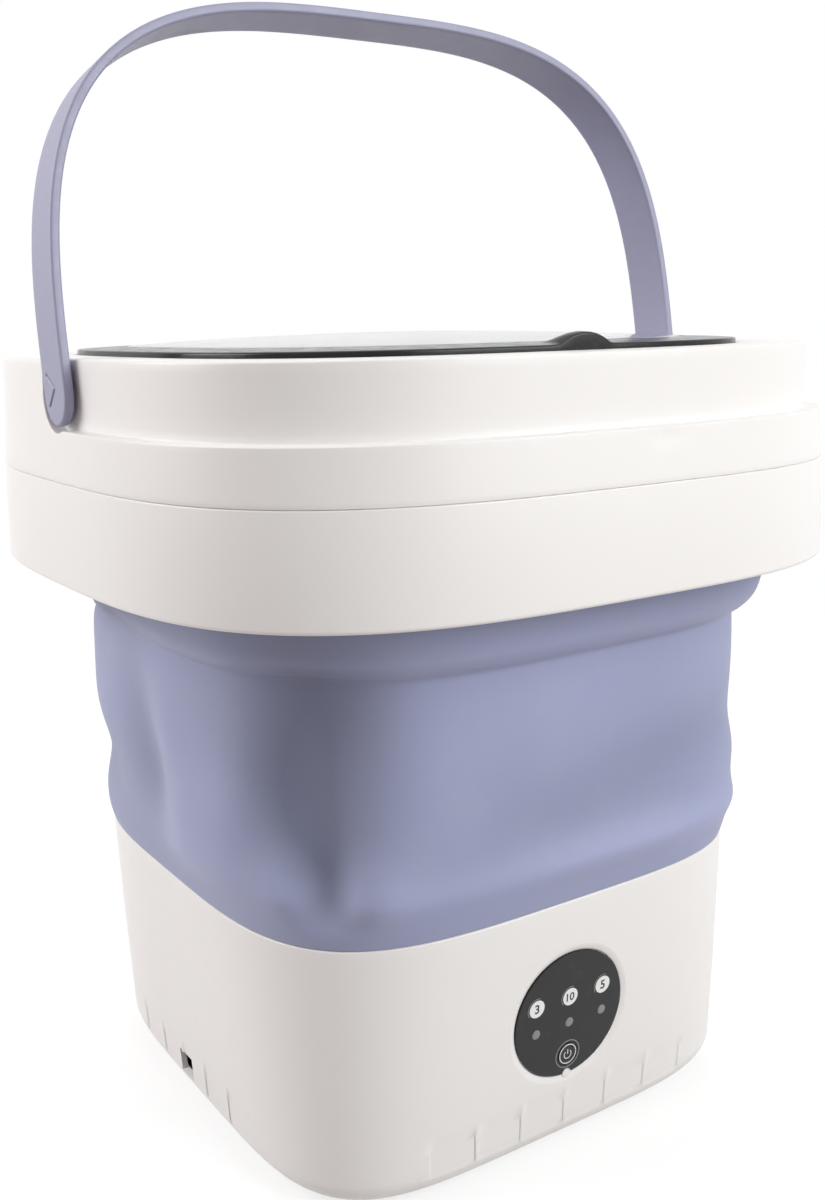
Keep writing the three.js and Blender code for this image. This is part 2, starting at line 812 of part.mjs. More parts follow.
// Soft wall: one moulded sheet with a bead turned in at its foot and at its top
function softWall() {
  const outer = softOutline();
  const inner = outer.slice(1, -1).filter((_, i) => i % 2 === 1)
    .map(([half, height]) => [half - softThick, height]).reverse();
  const profile = [
    ...outer,
    [softUpperHalf - softThick - beadWidth, softTop],
    [softUpperHalf - softThick - beadWidth, softTop - softThick],
    [softUpperHalf - softThick, softTop - softThick],
    ...inner,
    [softHalf - softThick, softFoot + softThick],
    [softHalf - softThick - beadWidth, softFoot + softThick],
    [softHalf - softThick - beadWidth, softFoot],
  ];
  return shellTurn(profile, (half, angle, height) => {
    const share = (height - softFoot) / (crease - softFoot);
    const still = softFoot + stillShare * (crease - softFoot);
    const rise = THREE.MathUtils.clamp((height - still) / (ringBottom - still), 0, 1);
    const squareness = THREE.MathUtils.lerp(baseSquareness, ringSquareness, rise);
    const free = THREE.MathUtils.clamp((share - stillShare) / stillShare, 0, 1);
    return half * squareReach(angle, squareness) - foldAt(angle, share) * free;
  });
}

const upperClampOuter = softUpperHalf - softThick - fit;
const upperClampInner = upperClampOuter - clampWidth;

function upperScrewPlaces() {
  return ringPlaces(upperClampScrews, upperClampInner + lipWidth / 2, ringSquareness);
}

// Half-width of the upper ring's outer face at a height
function ringHalf(height) {
  const above = (height - ringBottom) / skirtHeight;
  if (above <= 1) return THREE.MathUtils.lerp(ringBottomHalf, ringSeamHalf, above);
  const higher = (height - ringSeam) / shoulderHeight;
  return THREE.MathUtils.lerp(ringSeamHalf, ledgeHalf, Math.min(higher, 1));
}

// Lower half of the upper ring: a plain skirt with a rounded lower edge and a tongue on top
function rimSkirt() {
  const lapOuter = ringSeamHalf - ringWall - fit;
  const profile = [
    [ringBottomHalf - ringEdge, ringBottom],
    [ringBottomHalf - ringEdge * edgeShare, ringBottom + ringEdge * edgeShare],
    [ringHalf(ringBottom + ringEdge), ringBottom + ringEdge], [ringSeamHalf, ringSeam - fit],
    [lapOuter, ringSeam - fit], [lapOuter, ringSeam + lapHeight],
    [lapOuter - lapWall, ringSeam + lapHeight],
    [lapOuter - lapWall, ringSeam - lapHeight], [ringSeamHalf - ringWall, ringSeam - 2 * lapHeight],
    [ringBottomHalf - ringWall, ringBottom + ringEdge],
  ];
  return squareTurn(profile, ringSquareness);
}

// The space that the folded handle takes: a band round the front and a round-ended slot at each pivot
function handleRecess() {
  const band = squareTurn([
    [recessHalf, ledge], [ringBottomHalf, ledge], [ringBottomHalf, ringTop + overrun],
    [recessHalf - recessEdge - overrun, ringTop + overrun], [recessHalf, ringTop - recessEdge],
  ], ringSquareness);
  const reach = ringBottomHalf + overrun;
  const front = block([-reach, -reach, ledge - overrun], [reach, -pivotForward, ringTop + 2 * overrun]);
  const slots = [-1, 1].map((side) => {
    const slotHalf = strapWidth / 2 + pocketGap;
    const outline = new THREE.Shape();
    outline.moveTo(slotHalf, ringTop - pivotHeight + overrun);
    outline.lineTo(-slotHalf, ringTop - pivotHeight + overrun);
    outline.absarc(0, 0, slotHalf, Math.PI, 2 * Math.PI, false);
    const slot = new THREE.ExtrudeGeometry(outline, {
      depth: ringBottomHalf - recessHalf, bevelEnabled: false, curveSegments: smallSteps,
    });
    slot.rotateX(Math.PI / 2);
    slot.rotateZ((side * Math.PI) / 2);
    slot.translate(side * recessHalf, -pivotForward, pivotHeight);
    return slot;
  });
  return join(overlap(band, front), ...slots);
}

// Top frame of the ring: shoulder, flat top, lid seat, mouth and the flange that holds the soft wall
function rimFrame() {
  const wallInner = recessHalf - topThick;
  const flangeHalf = softUpperHalf + fit;
  const mouthOuter = mouthHalf + mouthWall;
  const seatHalf = lidHalf + fit;
  const topUnder = ringTop - topThick;
  const profile = [
    [ringSeamHalf, ringSeam], [ledgeHalf, ledge], [ringTopHalf, ringTop - topEdge],
    [ringTopHalf - topEdge * edgeShare, ringTop - topEdge * edgeShare], [ringTopHalf - topEdge, ringTop],
    [seatHalf, ringTop], [seatHalf, lidSeat], [mouthHalf, lidSeat], [mouthHalf, mouthBottom],
    [flangeHalf, mouthBottom],
    [flangeHalf, mouthBottom + flangeThick], [mouthOuter, mouthBottom + flangeThick],
    [mouthOuter, lidSeat - topThick], [seatHalf + topThick, lidSeat - topThick],
    [seatHalf + topThick, topUnder], [wallInner, topUnder], [wallInner, ledge - topThick],
    [ledgeHalf - ringWall, ledge - topThick], [ringSeamHalf - ringWall, ringSeam + lapHeight],
    [ringSeamHalf - ringWall, ringSeam],
  ];
  const bosses = [-1, 1].map((side) => {
    const outer = side * (recessHalf - topThick / 2);
    const boss = bar('x', pivotBossRadius, outer, outer - side * pivotBossLength);
    boss.translate(0, -pivotForward, pivotHeight);
    return boss;
  });
  const bores = bar('x', pivotRadius + runningGap, -ringBottomHalf, ringBottomHalf);
  bores.translate(0, -pivotForward, pivotHeight);
  const keep = block([-mouthOuter - fit, -mouthOuter, ledge], [mouthOuter + fit, mouthOuter, ringTop]);
  const [low, high] = [mouthBottom - overrun, mouthBottom + flangeThick + overrun];
  const bites = upperScrewPlaces().map(([x, y]) => post(screwShank + fit / 2, low, high, x, y, screwSteps));
  const frame = join(squareTurn(profile, ringSquareness), ...bosses);
  return cut(frame, handleRecess(), cut(bores, keep), ...bites);
}

const archHalf = recessHalf + strapSideGap + strapThick;
const archHeight = recessHalf - pivotForward + strapNestGap + strapThick;

// Points along a squared arch that stands on the pivots
function archPoints(half, height) {
  return Array.from({ length: archSteps + 1 }, (_, i) => {
    const angle = (Math.PI * i) / archSteps;
    const [across, up] = [Math.cos(angle), Math.sin(angle)];
    const share = 2 / archSquareness;
    return new THREE.Vector2(
      half * Math.sign(across) * Math.abs(across) ** share,
      height * Math.max(up, 0) ** share,
    );
  });
}

// Chevron groove on an end of the handle, its tip to the front
function chevron(side) {
  const half = chevronGroove / 2;
  const outline = new THREE.Shape([
    new THREE.Vector2(-chevronTip - half, 0),
    new THREE.Vector2(chevronDepth - chevronTip - half, -chevronHeight),
    new THREE.Vector2(chevronDepth - chevronTip + half, -chevronHeight + half),
    new THREE.Vector2(-chevronTip + chevronGroove, 0),
    new THREE.Vector2(chevronDepth - chevronTip + half, chevronHeight - half),
    new THREE.Vector2(chevronDepth - chevronTip - half, chevronHeight),
  ]);
  const groove = new THREE.ExtrudeGeometry(outline, { depth: chevronCut + overrun, bevelEnabled: false });
  groove.rotateX(Math.PI / 2);
  groove.rotateZ(Math.PI / 2);
  groove.translate(side > 0 ? archHalf - chevronCut : -archHalf - overrun, 0, chevronLift);
  return groove;
}

// Carrying handle: a flat strap bent to a squared arch, round at both ends
function handle() {
  const outline = new THREE.Shape(archPoints(archHalf, archHeight));
  const inner = archPoints(archHalf - strapThick, archHeight - strapThick).reverse();
  inner.forEach((point) => outline.lineTo(point.x, point.y));
  outline.closePath();
  const strap = new THREE.ExtrudeGeometry(outline, {
    depth: strapWidth - 2 * strapEdge, bevelSize: strapEdge, bevelOffset: -strapEdge,
    bevelThickness: strapEdge, bevelSegments: 1,
  });
  strap.translate(0, 0, -strapWidth / 2 + strapEdge);
  strap.rotateX(Math.PI / 2);
  const ends = [-1, 1].map((side) => (
    bar('x', strapWidth / 2, side * archHalf, side * (archHalf - strapThick), wheelSteps)));
  const [blindEnd, blindMouth] = [archHalf - pivotBlind, archHalf - strapThick - overrun];
  const blinds = [-1, 1].map((side) => (
    bar('x', pivotRadius + fit / 2, side * blindEnd, side * blindMouth)));
  return cut(join(strap, ...ends), ...blinds, chevron(-1), chevron(1));
}

// Shouldered pivot screw: its head inside the ring, its shank in the handle's end
function pivotScrew(side) {
  const headFace = recessHalf - topThick / 2 - pivotBossLength - fit;
  const headEnd = headFace - pivotHeadThick;
  const tip = archHalf - pivotBlind - fit;
  const profile = [
    [0, headEnd], [pivotHeadRadius, headEnd], [pivotHeadRadius, headFace], [pivotRadius, headFace],
    [pivotRadius, tip], [0, tip],
  ];
  const screw = roundTurn(profile, smallSteps);
  screw.rotateY((side * Math.PI) / 2);
  return screw;
}

const lidTop = ringTop + lidRise;
const lidBottom = lidSeat + fit;
const windowEdge = lidHalf - lidRimWidth;
const windowSeat = lidTop + lidCrown - windowThick - fit;

// Lid frame: a dark ring with a ledge for the window, a skirt that drops into the mouth and a finger tab
function lidFrame() {
  const skirtOuter = mouthHalf - lidSkirtGap;
  const skirtInner = skirtOuter - lidSkirtWall;
  const skirtBottom = lidBottom - lidSkirtDrop;
  const grooveBottom = lidBottom - sealHeight - 2 * fit;
  const profile = [
    [windowEdge - lidLedge, lidBottom], [skirtInner, lidBottom], [skirtInner, skirtBottom],
    [skirtOuter, skirtBottom], [skirtOuter, grooveBottom], [skirtOuter - sealGroove, grooveBottom],
    [skirtOuter - sealGroove, lidBottom], [lidHalf, lidBottom], [lidHalf, lidTop - lidEdge],
    [lidHalf - lidEdge, lidTop], [windowEdge + lidCrown, lidTop + lidCrown],
    [windowEdge, lidTop + lidCrown], [windowEdge, windowSeat], [windowEdge - lidLedge, windowSeat],
  ];
  const radius = ((tabWidth / 2) ** 2 + tabHeight ** 2) / (2 * tabHeight);
  const tab = bar('y', radius, -lidHalf + lidEdge / 2, -lidHalf + tabDepth, discSteps);
  tab.translate(0, 0, lidTop + tabHeight - radius);
  const room = block(
    [-tabWidth, -lidHalf - overrun, lidTop - lidEdge],
    [tabWidth, -lidHalf + 2 * tabDepth, lidTop + 2 * tabHeight],
  );
  return join(squareTurn(profile, ringSquareness), overlap(tab, room));
}

// Clear window: a shallow dome of even thickness that lies on the lid frame's ledge
function lidWindow() {
  const edge = windowEdge - fit;
  const seat = windowSeat + fit;
  const shares = [0.8, 0.45];
  const crownAt = (share) => windowCrown * (1 - share ** 2);
  const profile = [
    [0, seat + windowCrown], ...shares.map((share) => [edge * share, seat + crownAt(share)]).reverse(),
    [edge, seat], [edge, seat + windowThick],
    ...shares.map((share) => [edge * share, seat + windowThick + crownAt(share)]),
    [0, seat + windowThick + windowCrown],
  ];
  return squareTurn(profile, ringSquareness);
}

// Ring seal in the groove of the lid's skirt
function lidSeal() {
  const inner = mouthHalf - lidSkirtGap - sealGroove + fit;
  const top = lidBottom - fit;
  return squareTurn([
    [inner, top - sealHeight], [mouthHalf - lidSkirtGap + sealGroove, top - sealHeight],
    [mouthHalf - fit, top - sealHeight / 2], [inner, top],
  ], ringSquareness);
}

// Dark disc on the panel, notched at its foot for the casing's key
function panelOverlay() {
  const face = panelRecess - panelThick - fit;
  const disc = panelBar(panelRadius - fit, 0, 0, face, panelRecess - fit, discSteps);
  const holes = lampPlaces.map((x) => panelBar(lampRadius + fit, x, -lampDrop, -overrun, boardFront));
  return cut(
    disc, ...holes, panelBar(buttonRadius + fit, 0, -buttonDrop, -overrun, boardFront),
    panelBar(panelKey + fit, 0, -panelRadius, -overrun, boardFront),
  );
}

const panelFace = panelRecess - panelThick - fit;

// Push button: a cap through the panel with a flange that keeps it behind the casing's wall
function modeButton() {
  const flangeFace = shellWall + fit;
  const back = flangeFace + buttonFlangeThick;
  return join(
    panelBar(buttonRadius, 0, -buttonDrop, panelFace, back),
    panelBar(buttonRadius + buttonFlange, 0, -buttonDrop, flangeFace, back),
  );
}

// Circuit board behind the panel, with the push switch under the button
function controlBoard() {
  const switchFace = shellWall + fit + buttonFlangeThick + buttonTravel + fit / 2;
  const boardBack = boardFront + boardThick;
  const board = block(
    [-boardWidth / 2, boardFront, -boardTall / 2], [boardWidth / 2, boardBack, boardTall / 2],
  );
  const pushSwitch = block(
    [-switchHalf, switchFace, -buttonDrop - switchHalf],
    [switchHalf, boardFront + boardThick / 2, -buttonDrop + switchHalf],
  );
  return join(board, pushSwitch);
}

// Power socket: a block on a stand on the casing's flange, with a round bore and a contact pin
function dcJack() {
  const face = -casingHalf(jackBottom) + jackInset;
  const half = jackWidth / 2 - fit;
  const body = join(block(
    [face, jackForward - half, jackBottom + fit],
    [face + jackDepth, jackForward + half, jackBottom + jackTall - fit],
  ), block(
    [face + jackInset, jackForward - half, baseFlangeTop + fit],
    [face + jackDepth, jackForward + half, jackBottom + jackTall / 2],
  ));
  const bore = cut(
    bar('x', jackBore, face - overrun, face + jackDepth - overrun),
    bar('x', jackPin, face + overrun / 2, face + jackDepth, screwSteps),
  );
  bore.translate(0, jackForward, jackBottom + jackTall / 2);
  return cut(body, bore);
}

function housingScrewPlaces() {
  return Array.from({ length: housingScrews }, (_, i) => {
    const angle = Math.PI / housingScrews + (2 * Math.PI * i) / housingScrews;
    return [housingScrewReach * Math.cos(angle), housingScrewReach * Math.sin(angle)];
  });
}

function motorScrewPlaces() {
  return [[beltCentres, -motorScrewReach], [beltCentres, motorScrewReach]];
}

// A plain ring bearing with its two races as one
function bearing(top) {
  return roundTurn(ringProfile(shaftRadius + fit / 2, bearingRadius, top - bearingThick, top));
}

const bracketTop = housingBottom - fit;

// Sheet bracket that joins the motor to the bearing housing
function motorBracket() {
  const outline = new THREE.Shape();
  outline.absarc(0, 0, bracketWidth, Math.PI / 2, (3 * Math.PI) / 2, false);
  outline.absarc(beltCentres, 0, motorRadius, (3 * Math.PI) / 2, (5 * Math.PI) / 2, false);
  outline.closePath();
  const shaftHole = new THREE.Path().absarc(0, 0, bracketHole, 0, 2 * Math.PI, true);
  const bossHole = new THREE.Path().absarc(beltCentres, 0, motorBoss + fit, 0, 2 * Math.PI, true);
  outline.holes.push(shaftHole, bossHole);
  const plate = slab(outline, bracketTop - bracketThick, bracketTop, smallSteps / 2);
  const holes = [...housingScrewPlaces(), ...motorScrewPlaces()].map(([x, y]) => (
    post(screwShank + fit, bracketTop - bracketThick - overrun, bracketTop + overrun, x, y, screwSteps)));
  return cut(plate, ...holes);
}

const motorBottom = bracketTop + fit;

// Motor: a short can with a boss that centres it in the bracket
function motor() {
  const top = motorBottom + motorTall;
  const seat = motorShaftRadius + runningGap;
  const bossBottom = bracketTop - bracketThick;
  const profile = [
    [0, motorBottom + motorShaftSeat], [seat, motorBottom + motorShaftSeat], [seat, bossBottom],
    [motorBoss, bossBottom], [motorBoss, motorBottom], [motorRadius - motorChamfer, motorBottom],
    [motorRadius, motorBottom + motorChamfer], [motorRadius, top - motorChamfer],
    [motorRadius - motorChamfer, top], [0, top],
  ];
  const can = roundTurn(profile);
  can.translate(beltCentres, 0, 0);
  const bites = motorScrewPlaces().map(([x, y]) => (
    post(screwShank + fit / 2, motorBottom - overrun, motorBottom + screwBite, x, y, screwSteps)));
  return cut(can, ...bites);
}

const beltTop = beltHeight + beltWidth;

// A belt pulley with a lip above and below the belt and a hub
function pulley(radius, bore, hub, hubTop, steps) {
  const low = beltHeight - runningGap;
  const high = beltTop + runningGap;
  const web = Math.min(hub, radius);
  const profile = [
    [bore, low - pulleyLipThick], [radius + pulleyLip, low - pulleyLipThick], [radius + pulleyLip, low],
    [radius, low], [radius, high], [radius + pulleyLip, high], [radius + pulleyLip, high + pulleyLipThick],
    [web, high + pulleyLipThick], [web, hubTop], [bore, hubTop],
  ];
  return roundTurn(profile, steps);
}

// Large pulley on the agitator's shaft, with round holes through its web
function drivePulley() {
  const top = beltTop + runningGap + pulleyLipThick;
  const wheel = pulley(pulleyRadius, shaftRadius + fit / 2, pulleyHub, top + pulleyLipThick, wheelSteps);
  const holes = Array.from({ length: pulleyHoles }, (_, i) => {
    const angle = (2 * Math.PI * i) / pulleyHoles;
    const [x, y] = [pulleyHoleReach * Math.cos(angle), pulleyHoleReach * Math.sin(angle)];
    return post(pulleyHole, 0, top + overrun, x, y, screwSteps);
  });
  return cut(wheel, ...holes);
}

// Small pulley on the motor's shaft
function motorPulley() {
  const hubEnd = bracketTop - bracketThick - 2 * fit;
  const bore = motorShaftRadius + fit / 2;
  const wheel = pulley(motorPulleyRadius, bore, motorPulleyHub, hubEnd, smallSteps);
  wheel.translate(beltCentres, 0, 0);
  return wheel;
}

// The closed line that a belt takes round both pulleys, a given distance outside them
function beltPath(path, outside) {
  const big = pulleyRadius + outside;
  const small = motorPulleyRadius + outside;
  const lean = Math.acos((big - small) / beltCentres);
  path.absarc(0, 0, big, lean, 2 * Math.PI - lean, false);
  path.absarc(beltCentres, 0, small, -lean, lean, false);
  path.closePath();
  return path;
}

// Drive belt round both pulleys
function driveBelt() {
  const outline = beltPath(new THREE.Shape(), runningGap + beltThick);
  outline.holes.push(beltPath(new THREE.Path(), runningGap));
  return slab(outline, beltHeight, beltTop, screwSteps);
}

const agitatorBottom = wellFloor + agitatorGap;
const hubTop = agitatorBottom + agitatorEdge + agitatorRise + agitatorHubTall;

// Agitator: a low cone with a hub and four bent blades that fall towards its edge
function agitator() {
  const edgeTop = agitatorBottom + agitatorEdge;
  const coneTop = edgeTop + agitatorRise;
  const roof = shaftTop + fit;
  const bore = shaftRadius + fit;
  const profile = [
    [bore, agitatorBottom], [agitatorRadius - agitatorEdge / 2, agitatorBottom],
    [agitatorRadius, agitatorBottom + agitatorEdge / 2], [agitatorRadius - agitatorEdge / 2, edgeTop],
    [agitatorHub, coneTop], [agitatorHub - agitatorEdge, hubTop], [screwShank + fit, hubTop],
    [screwShank + fit, roof], [bore, roof],
  ];
  const envelope = roundTurn([
    [0, agitatorBottom], [agitatorRadius - agitatorEdge, agitatorBottom],
    [agitatorRadius - agitatorEdge, edgeTop + bladeTall - bladeFall - agitatorEdge / 2],
    [agitatorHub, edgeTop + bladeTall], [0, edgeTop + bladeTall],
  ]);
  const bladeOuter = agitatorRadius;
  const bladeInner = agitatorHub - agitatorEdge * 2;
  const blades = Array.from({ length: bladeCount }, (_, i) => {
    const outline = new THREE.Shape();
    const middle = (bladeInner + bladeOuter) / 2;
    outline.moveTo(bladeInner, -bladeThick / 2);
    outline.quadraticCurveTo(middle, -bladeThick / 2 + bladeBend, bladeOuter, -bladeThick / 2);
    outline.lineTo(bladeOuter, bladeThick / 2);
    outline.quadraticCurveTo(middle, bladeThick / 2 + bladeBend, bladeInner, bladeThick / 2);
    const blade = slab(outline, agitatorBottom + agitatorEdge / 2, hubTop, bladeSteps);
    blade.rotateZ((2 * Math.PI * i) / bladeCount);
    return blade;
  });
  const inside = overlap(join(...blades), envelope);
  const holes = Array.from({ length: drainHoles }, (_, i) => {
    const angle = (2 * Math.PI * (i + 0.5)) / drainHoles;
    const [x, y] = [drainHoleReach * Math.cos(angle), drainHoleReach * Math.sin(angle)];
    return post(drainHoleRadius, agitatorBottom - overrun, hubTop, x, y, screwSteps);
  });
  const hubRoom = post(bore, agitatorBottom - overrun, roof, 0, 0, wheelSteps);
  const screwRoom = post(screwShank + fit, agitatorBottom, hubTop + overrun, 0, 0, screwSteps);
  return cut(join(roundTurn(profile), inside), ...holes, hubRoom, screwRoom);
}

// Drive shaft with a threaded hole in its top
function driveShaft() {
  const blind = shaftTop - screwBite * 2;
  const profile = [
    [0, shaftBottom], [shaftRadius, shaftBottom], [shaftRadius, shaftTop],
    [screwShank + fit / 2, shaftTop], [screwShank + fit / 2, blind], [0, blind],
  ];
  return roundTurn(profile, smallSteps);
}

// Domed cap screw that holds the agitator
function agitatorCap() {
  const under = hubTop + fit;
  const profile = [
    [0, shaftTop - screwBite], [screwShank, shaftTop - screwBite], [screwShank, under], [capRadius, under],
    [capRadius, under + capTall / 2], [capRadius / 2, under + capTall], [0, under + capTall],
  ];
  return roundTurn(profile, smallSteps);
}

// Drain spout: an elbow from the tub's floor to the back of the casing
function drainSpout() {
  const back = casingHalf(spoutHeight) + spoutOut;
  const top = tubFloorHeight;
  const across = (radius, from, to) => {
    const geometry = bar('y', radius, from, to);
    geometry.translate(0, 0, spoutHeight);
    return geometry;
  };
  const outside = join(
    post(spoutRadius, spoutHeight - spoutRadius, top, 0, drainReach),
    across(spoutRadius, drainReach, back),
  );
  return cut(
    outside, post(spoutBore, spoutHeight - spoutBore, top + overrun, 0, drainReach),
    across(spoutBore, drainReach, back + overrun),
  );
}

// Rubber stopper: a plug in the spout, a cap outside it and a grip to pull
function drainStopper() {
  const back = casingHalf(spoutHeight) + spoutOut + fit;
  const plug = join(
    bar('y', spoutBore - fit, back - stopperPlug, back + stopperCapThick / 2),
    bar('y', stopperCap, back, back + stopperCapThick),
  );
  plug.translate(0, 0, spoutHeight);
  const gripHalf = stopperCap - stopperCapThick / 2;
  const grip = block(
    [-stopperCapThick / 2, back + stopperCapThick / 2, spoutHeight - gripHalf],
    [stopperCapThick / 2, back + stopperCapThick + stopperGrip, spoutHeight + gripHalf],
  );
  return join(plug, grip);
}

// Lip seal round the shaft, at the top of the bearing housing
function shaftSeal() {
  return roundTurn(ringProfile(shaftRadius + runningGap, sealSeat, webTop, webTop + sealThick - fit));
}

// Base
addPiece('base_shell', baseShell(), whitePlastic);
addPiece('bottom_cover', bottomCover(), whitePlastic);
cornerPlaces(footReach).forEach((place, i) => {
  addPiece(`foot_${i + 1}`, foot(place), blackRubber);
});
coverScrewPlaces().forEach(([x, y], i) => {
  addPiece(`cover_screw_${i + 1}`, upScrew(x, y, footDrop, baseFlangeTop), steel);
});
addPiece('tub_floor', tubFloor(), whitePlastic);
addPiece('silicone_wall', softWall(), softLavender);
addPiece('lower_clamp_ring', clampRing(
  lowerClampInner, lowerClampOuter, lowerClampBottom, lowerClampBottom + clampThick, baseTop + fit,
  lowerScrewPlaces(), baseSquareness,
), whitePlastic);
lowerScrewPlaces().forEach(([x, y], i) => {
  const headTop = lowerClampBottom + clampThick + fit + screwHeadHeight;
  addPiece(`lower_clamp_screw_${i + 1}`, downScrew(x, y, headTop, tubSeat + fit), steel);
});

// Panel
addPiece('panel_overlay', panelOverlay(), darkPlastic, panel);
lampPlaces.forEach((x, i) => {
  const lens = panelBar(lampRadius, x, -lampDrop, panelFace, boardFront - fit, smallSteps);
  addPiece(`lamp_lens_${i + 1}`, lens, lampGrey, panel);
});
addPiece('control_board', controlBoard(), boardGreen, panel);
addPiece('mode_button', modeButton(), darkPlastic, panel);
addPiece('dc_jack', dcJack(), darkPlastic);

// Drive
addPiece('upper_bearing', bearing(upperBearingTop), steel);
addPiece('lower_bearing', bearing(housingBottom + bearingThick + fit), steel);
addPiece('shaft_seal', shaftSeal(), blackRubber);
addPiece('motor_bracket', motorBracket(), steel);
[...housingScrewPlaces(), ...motorScrewPlaces()].forEach(([x, y], i) => {
  const headBottom = bracketTop - bracketThick - fit - screwHeadHeight;
  addPiece(`bracket_screw_${i + 1}`, upScrew(x, y, headBottom, housingBottom + housingFlangeThick), steel);
});
addPiece('motor', motor(), steel);
const motorShaftTop = motorBottom + motorShaftSeat - fit;
addPiece('motor_shaft', post(
  motorShaftRadius, beltHeight - pulleyLipThick - 2 * fit, motorShaftTop, beltCentres, 0,
), steel);
addPiece('motor_pulley', motorPulley(), darkPlastic);
addPiece('drive_belt', driveBelt(), blackRubber);
addPiece('drive_pulley', drivePulley(), darkPlastic);
addPiece('drive_shaft', driveShaft(), steel);
addPiece('agitator', agitator(), softLavender);
addPiece('agitator_cap_screw', agitatorCap(), whitePlastic);
addPiece('drain_spout', drainSpout(), whitePlastic);
addPiece('drain_stopper', drainStopper(), greyRubber);

// Upper ring
addPiece('rim_skirt', rimSkirt(), whitePlastic);
addPiece('rim_frame', rimFrame(), whitePlastic);
addPiece('upper_clamp_ring', clampRing(
  upperClampInner, upperClampOuter, upperClampTop, upperClampTop - clampThick, mouthBottom - fit,
  upperScrewPlaces(), ringSquareness,
), whitePlastic);
upperScrewPlaces().forEach(([x, y], i) => {
  const headBottom = upperClampTop - clampThick - fit - screwHeadHeight;
  addPiece(`upper_clamp_screw_${i + 1}`, upScrew(x, y, headBottom, mouthBottom + flangeThick - fit), steel);
});

// Handle, leaning back on its pivots
const handleGroup = new THREE.Group();
handleGroup.position.set(0, -pivotForward, pivotHeight);
handleGroup.rotation.x = -handleLean;
washer.add(handleGroup);
addPiece('handle', handle(), softLavender, handleGroup);
addPiece('pivot_screw_left', pivotScrew(-1), steel, handleGroup);
addPiece('pivot_screw_right', pivotScrew(1), steel, handleGroup);

// Lid
addPiece('lid_frame', lidFrame(), darkPlastic);
addPiece('lid_window', lidWindow(), clearPlastic);
addPiece('lid_seal', lidSeal(), greyRubber);

export default washer;
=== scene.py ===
"""Folding mini washing machine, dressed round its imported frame.

Shapes are worked out in millimetres and put into their meshes in metres, in the frame's own axes:
X to the right of the front face, Y to the back, Z up from the floor.
"""

import math
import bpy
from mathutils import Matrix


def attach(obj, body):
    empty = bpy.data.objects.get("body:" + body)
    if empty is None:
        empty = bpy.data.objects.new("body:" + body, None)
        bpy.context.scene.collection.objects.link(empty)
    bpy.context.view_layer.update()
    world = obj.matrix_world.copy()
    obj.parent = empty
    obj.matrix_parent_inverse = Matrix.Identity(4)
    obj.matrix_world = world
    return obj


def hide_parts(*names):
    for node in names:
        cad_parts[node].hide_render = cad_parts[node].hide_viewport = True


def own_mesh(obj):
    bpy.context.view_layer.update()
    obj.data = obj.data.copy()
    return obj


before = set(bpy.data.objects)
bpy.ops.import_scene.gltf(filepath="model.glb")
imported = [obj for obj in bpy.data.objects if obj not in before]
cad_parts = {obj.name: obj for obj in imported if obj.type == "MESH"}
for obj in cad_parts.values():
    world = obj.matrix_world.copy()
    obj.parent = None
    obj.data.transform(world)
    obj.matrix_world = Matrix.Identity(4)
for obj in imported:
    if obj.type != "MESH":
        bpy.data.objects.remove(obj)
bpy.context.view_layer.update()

import types

import bmesh
import bpy
import numpy as np
from mathutils import Matrix

bl_info = {
    "name": "Folding mini washing machine",
    "version": (1, 0, 0),
    "blender": (4, 5, 0),
    "location": "3D View > Sidebar > Washer",
    "description": "Builds the visible pieces, finishes and stage of a folding mini washing machine",
    "category": "Add Mesh",
}

MILLIMETRE = 0.001
FULL_TURN = 2 * np.pi


# Sizes and colours that a user would change

def length(name, description, default):
    """A length property in metres."""
    return bpy.props.FloatProperty(
        name=name, description=description, default=default, unit="LENGTH", precision=5)


def number(name, description, default):
    """A plain number property."""
    return bpy.props.FloatProperty(name=name, description=description, default=default, precision=3)


def colour(name, description, red, green, blue):
    """A colour property, from values of 0 to 255 as they are seen on a screen."""
    seen = np.array([red, green, blue]) / 255
    linear = np.where(seen <= 0.04045, seen / 12.92, ((seen + 0.055) / 1.055) ** 2.4)
    return bpy.props.FloatVectorProperty(
        name=name, description=description, default=tuple(linear), size=3, subtype="COLOR",
        min=0, max=1)


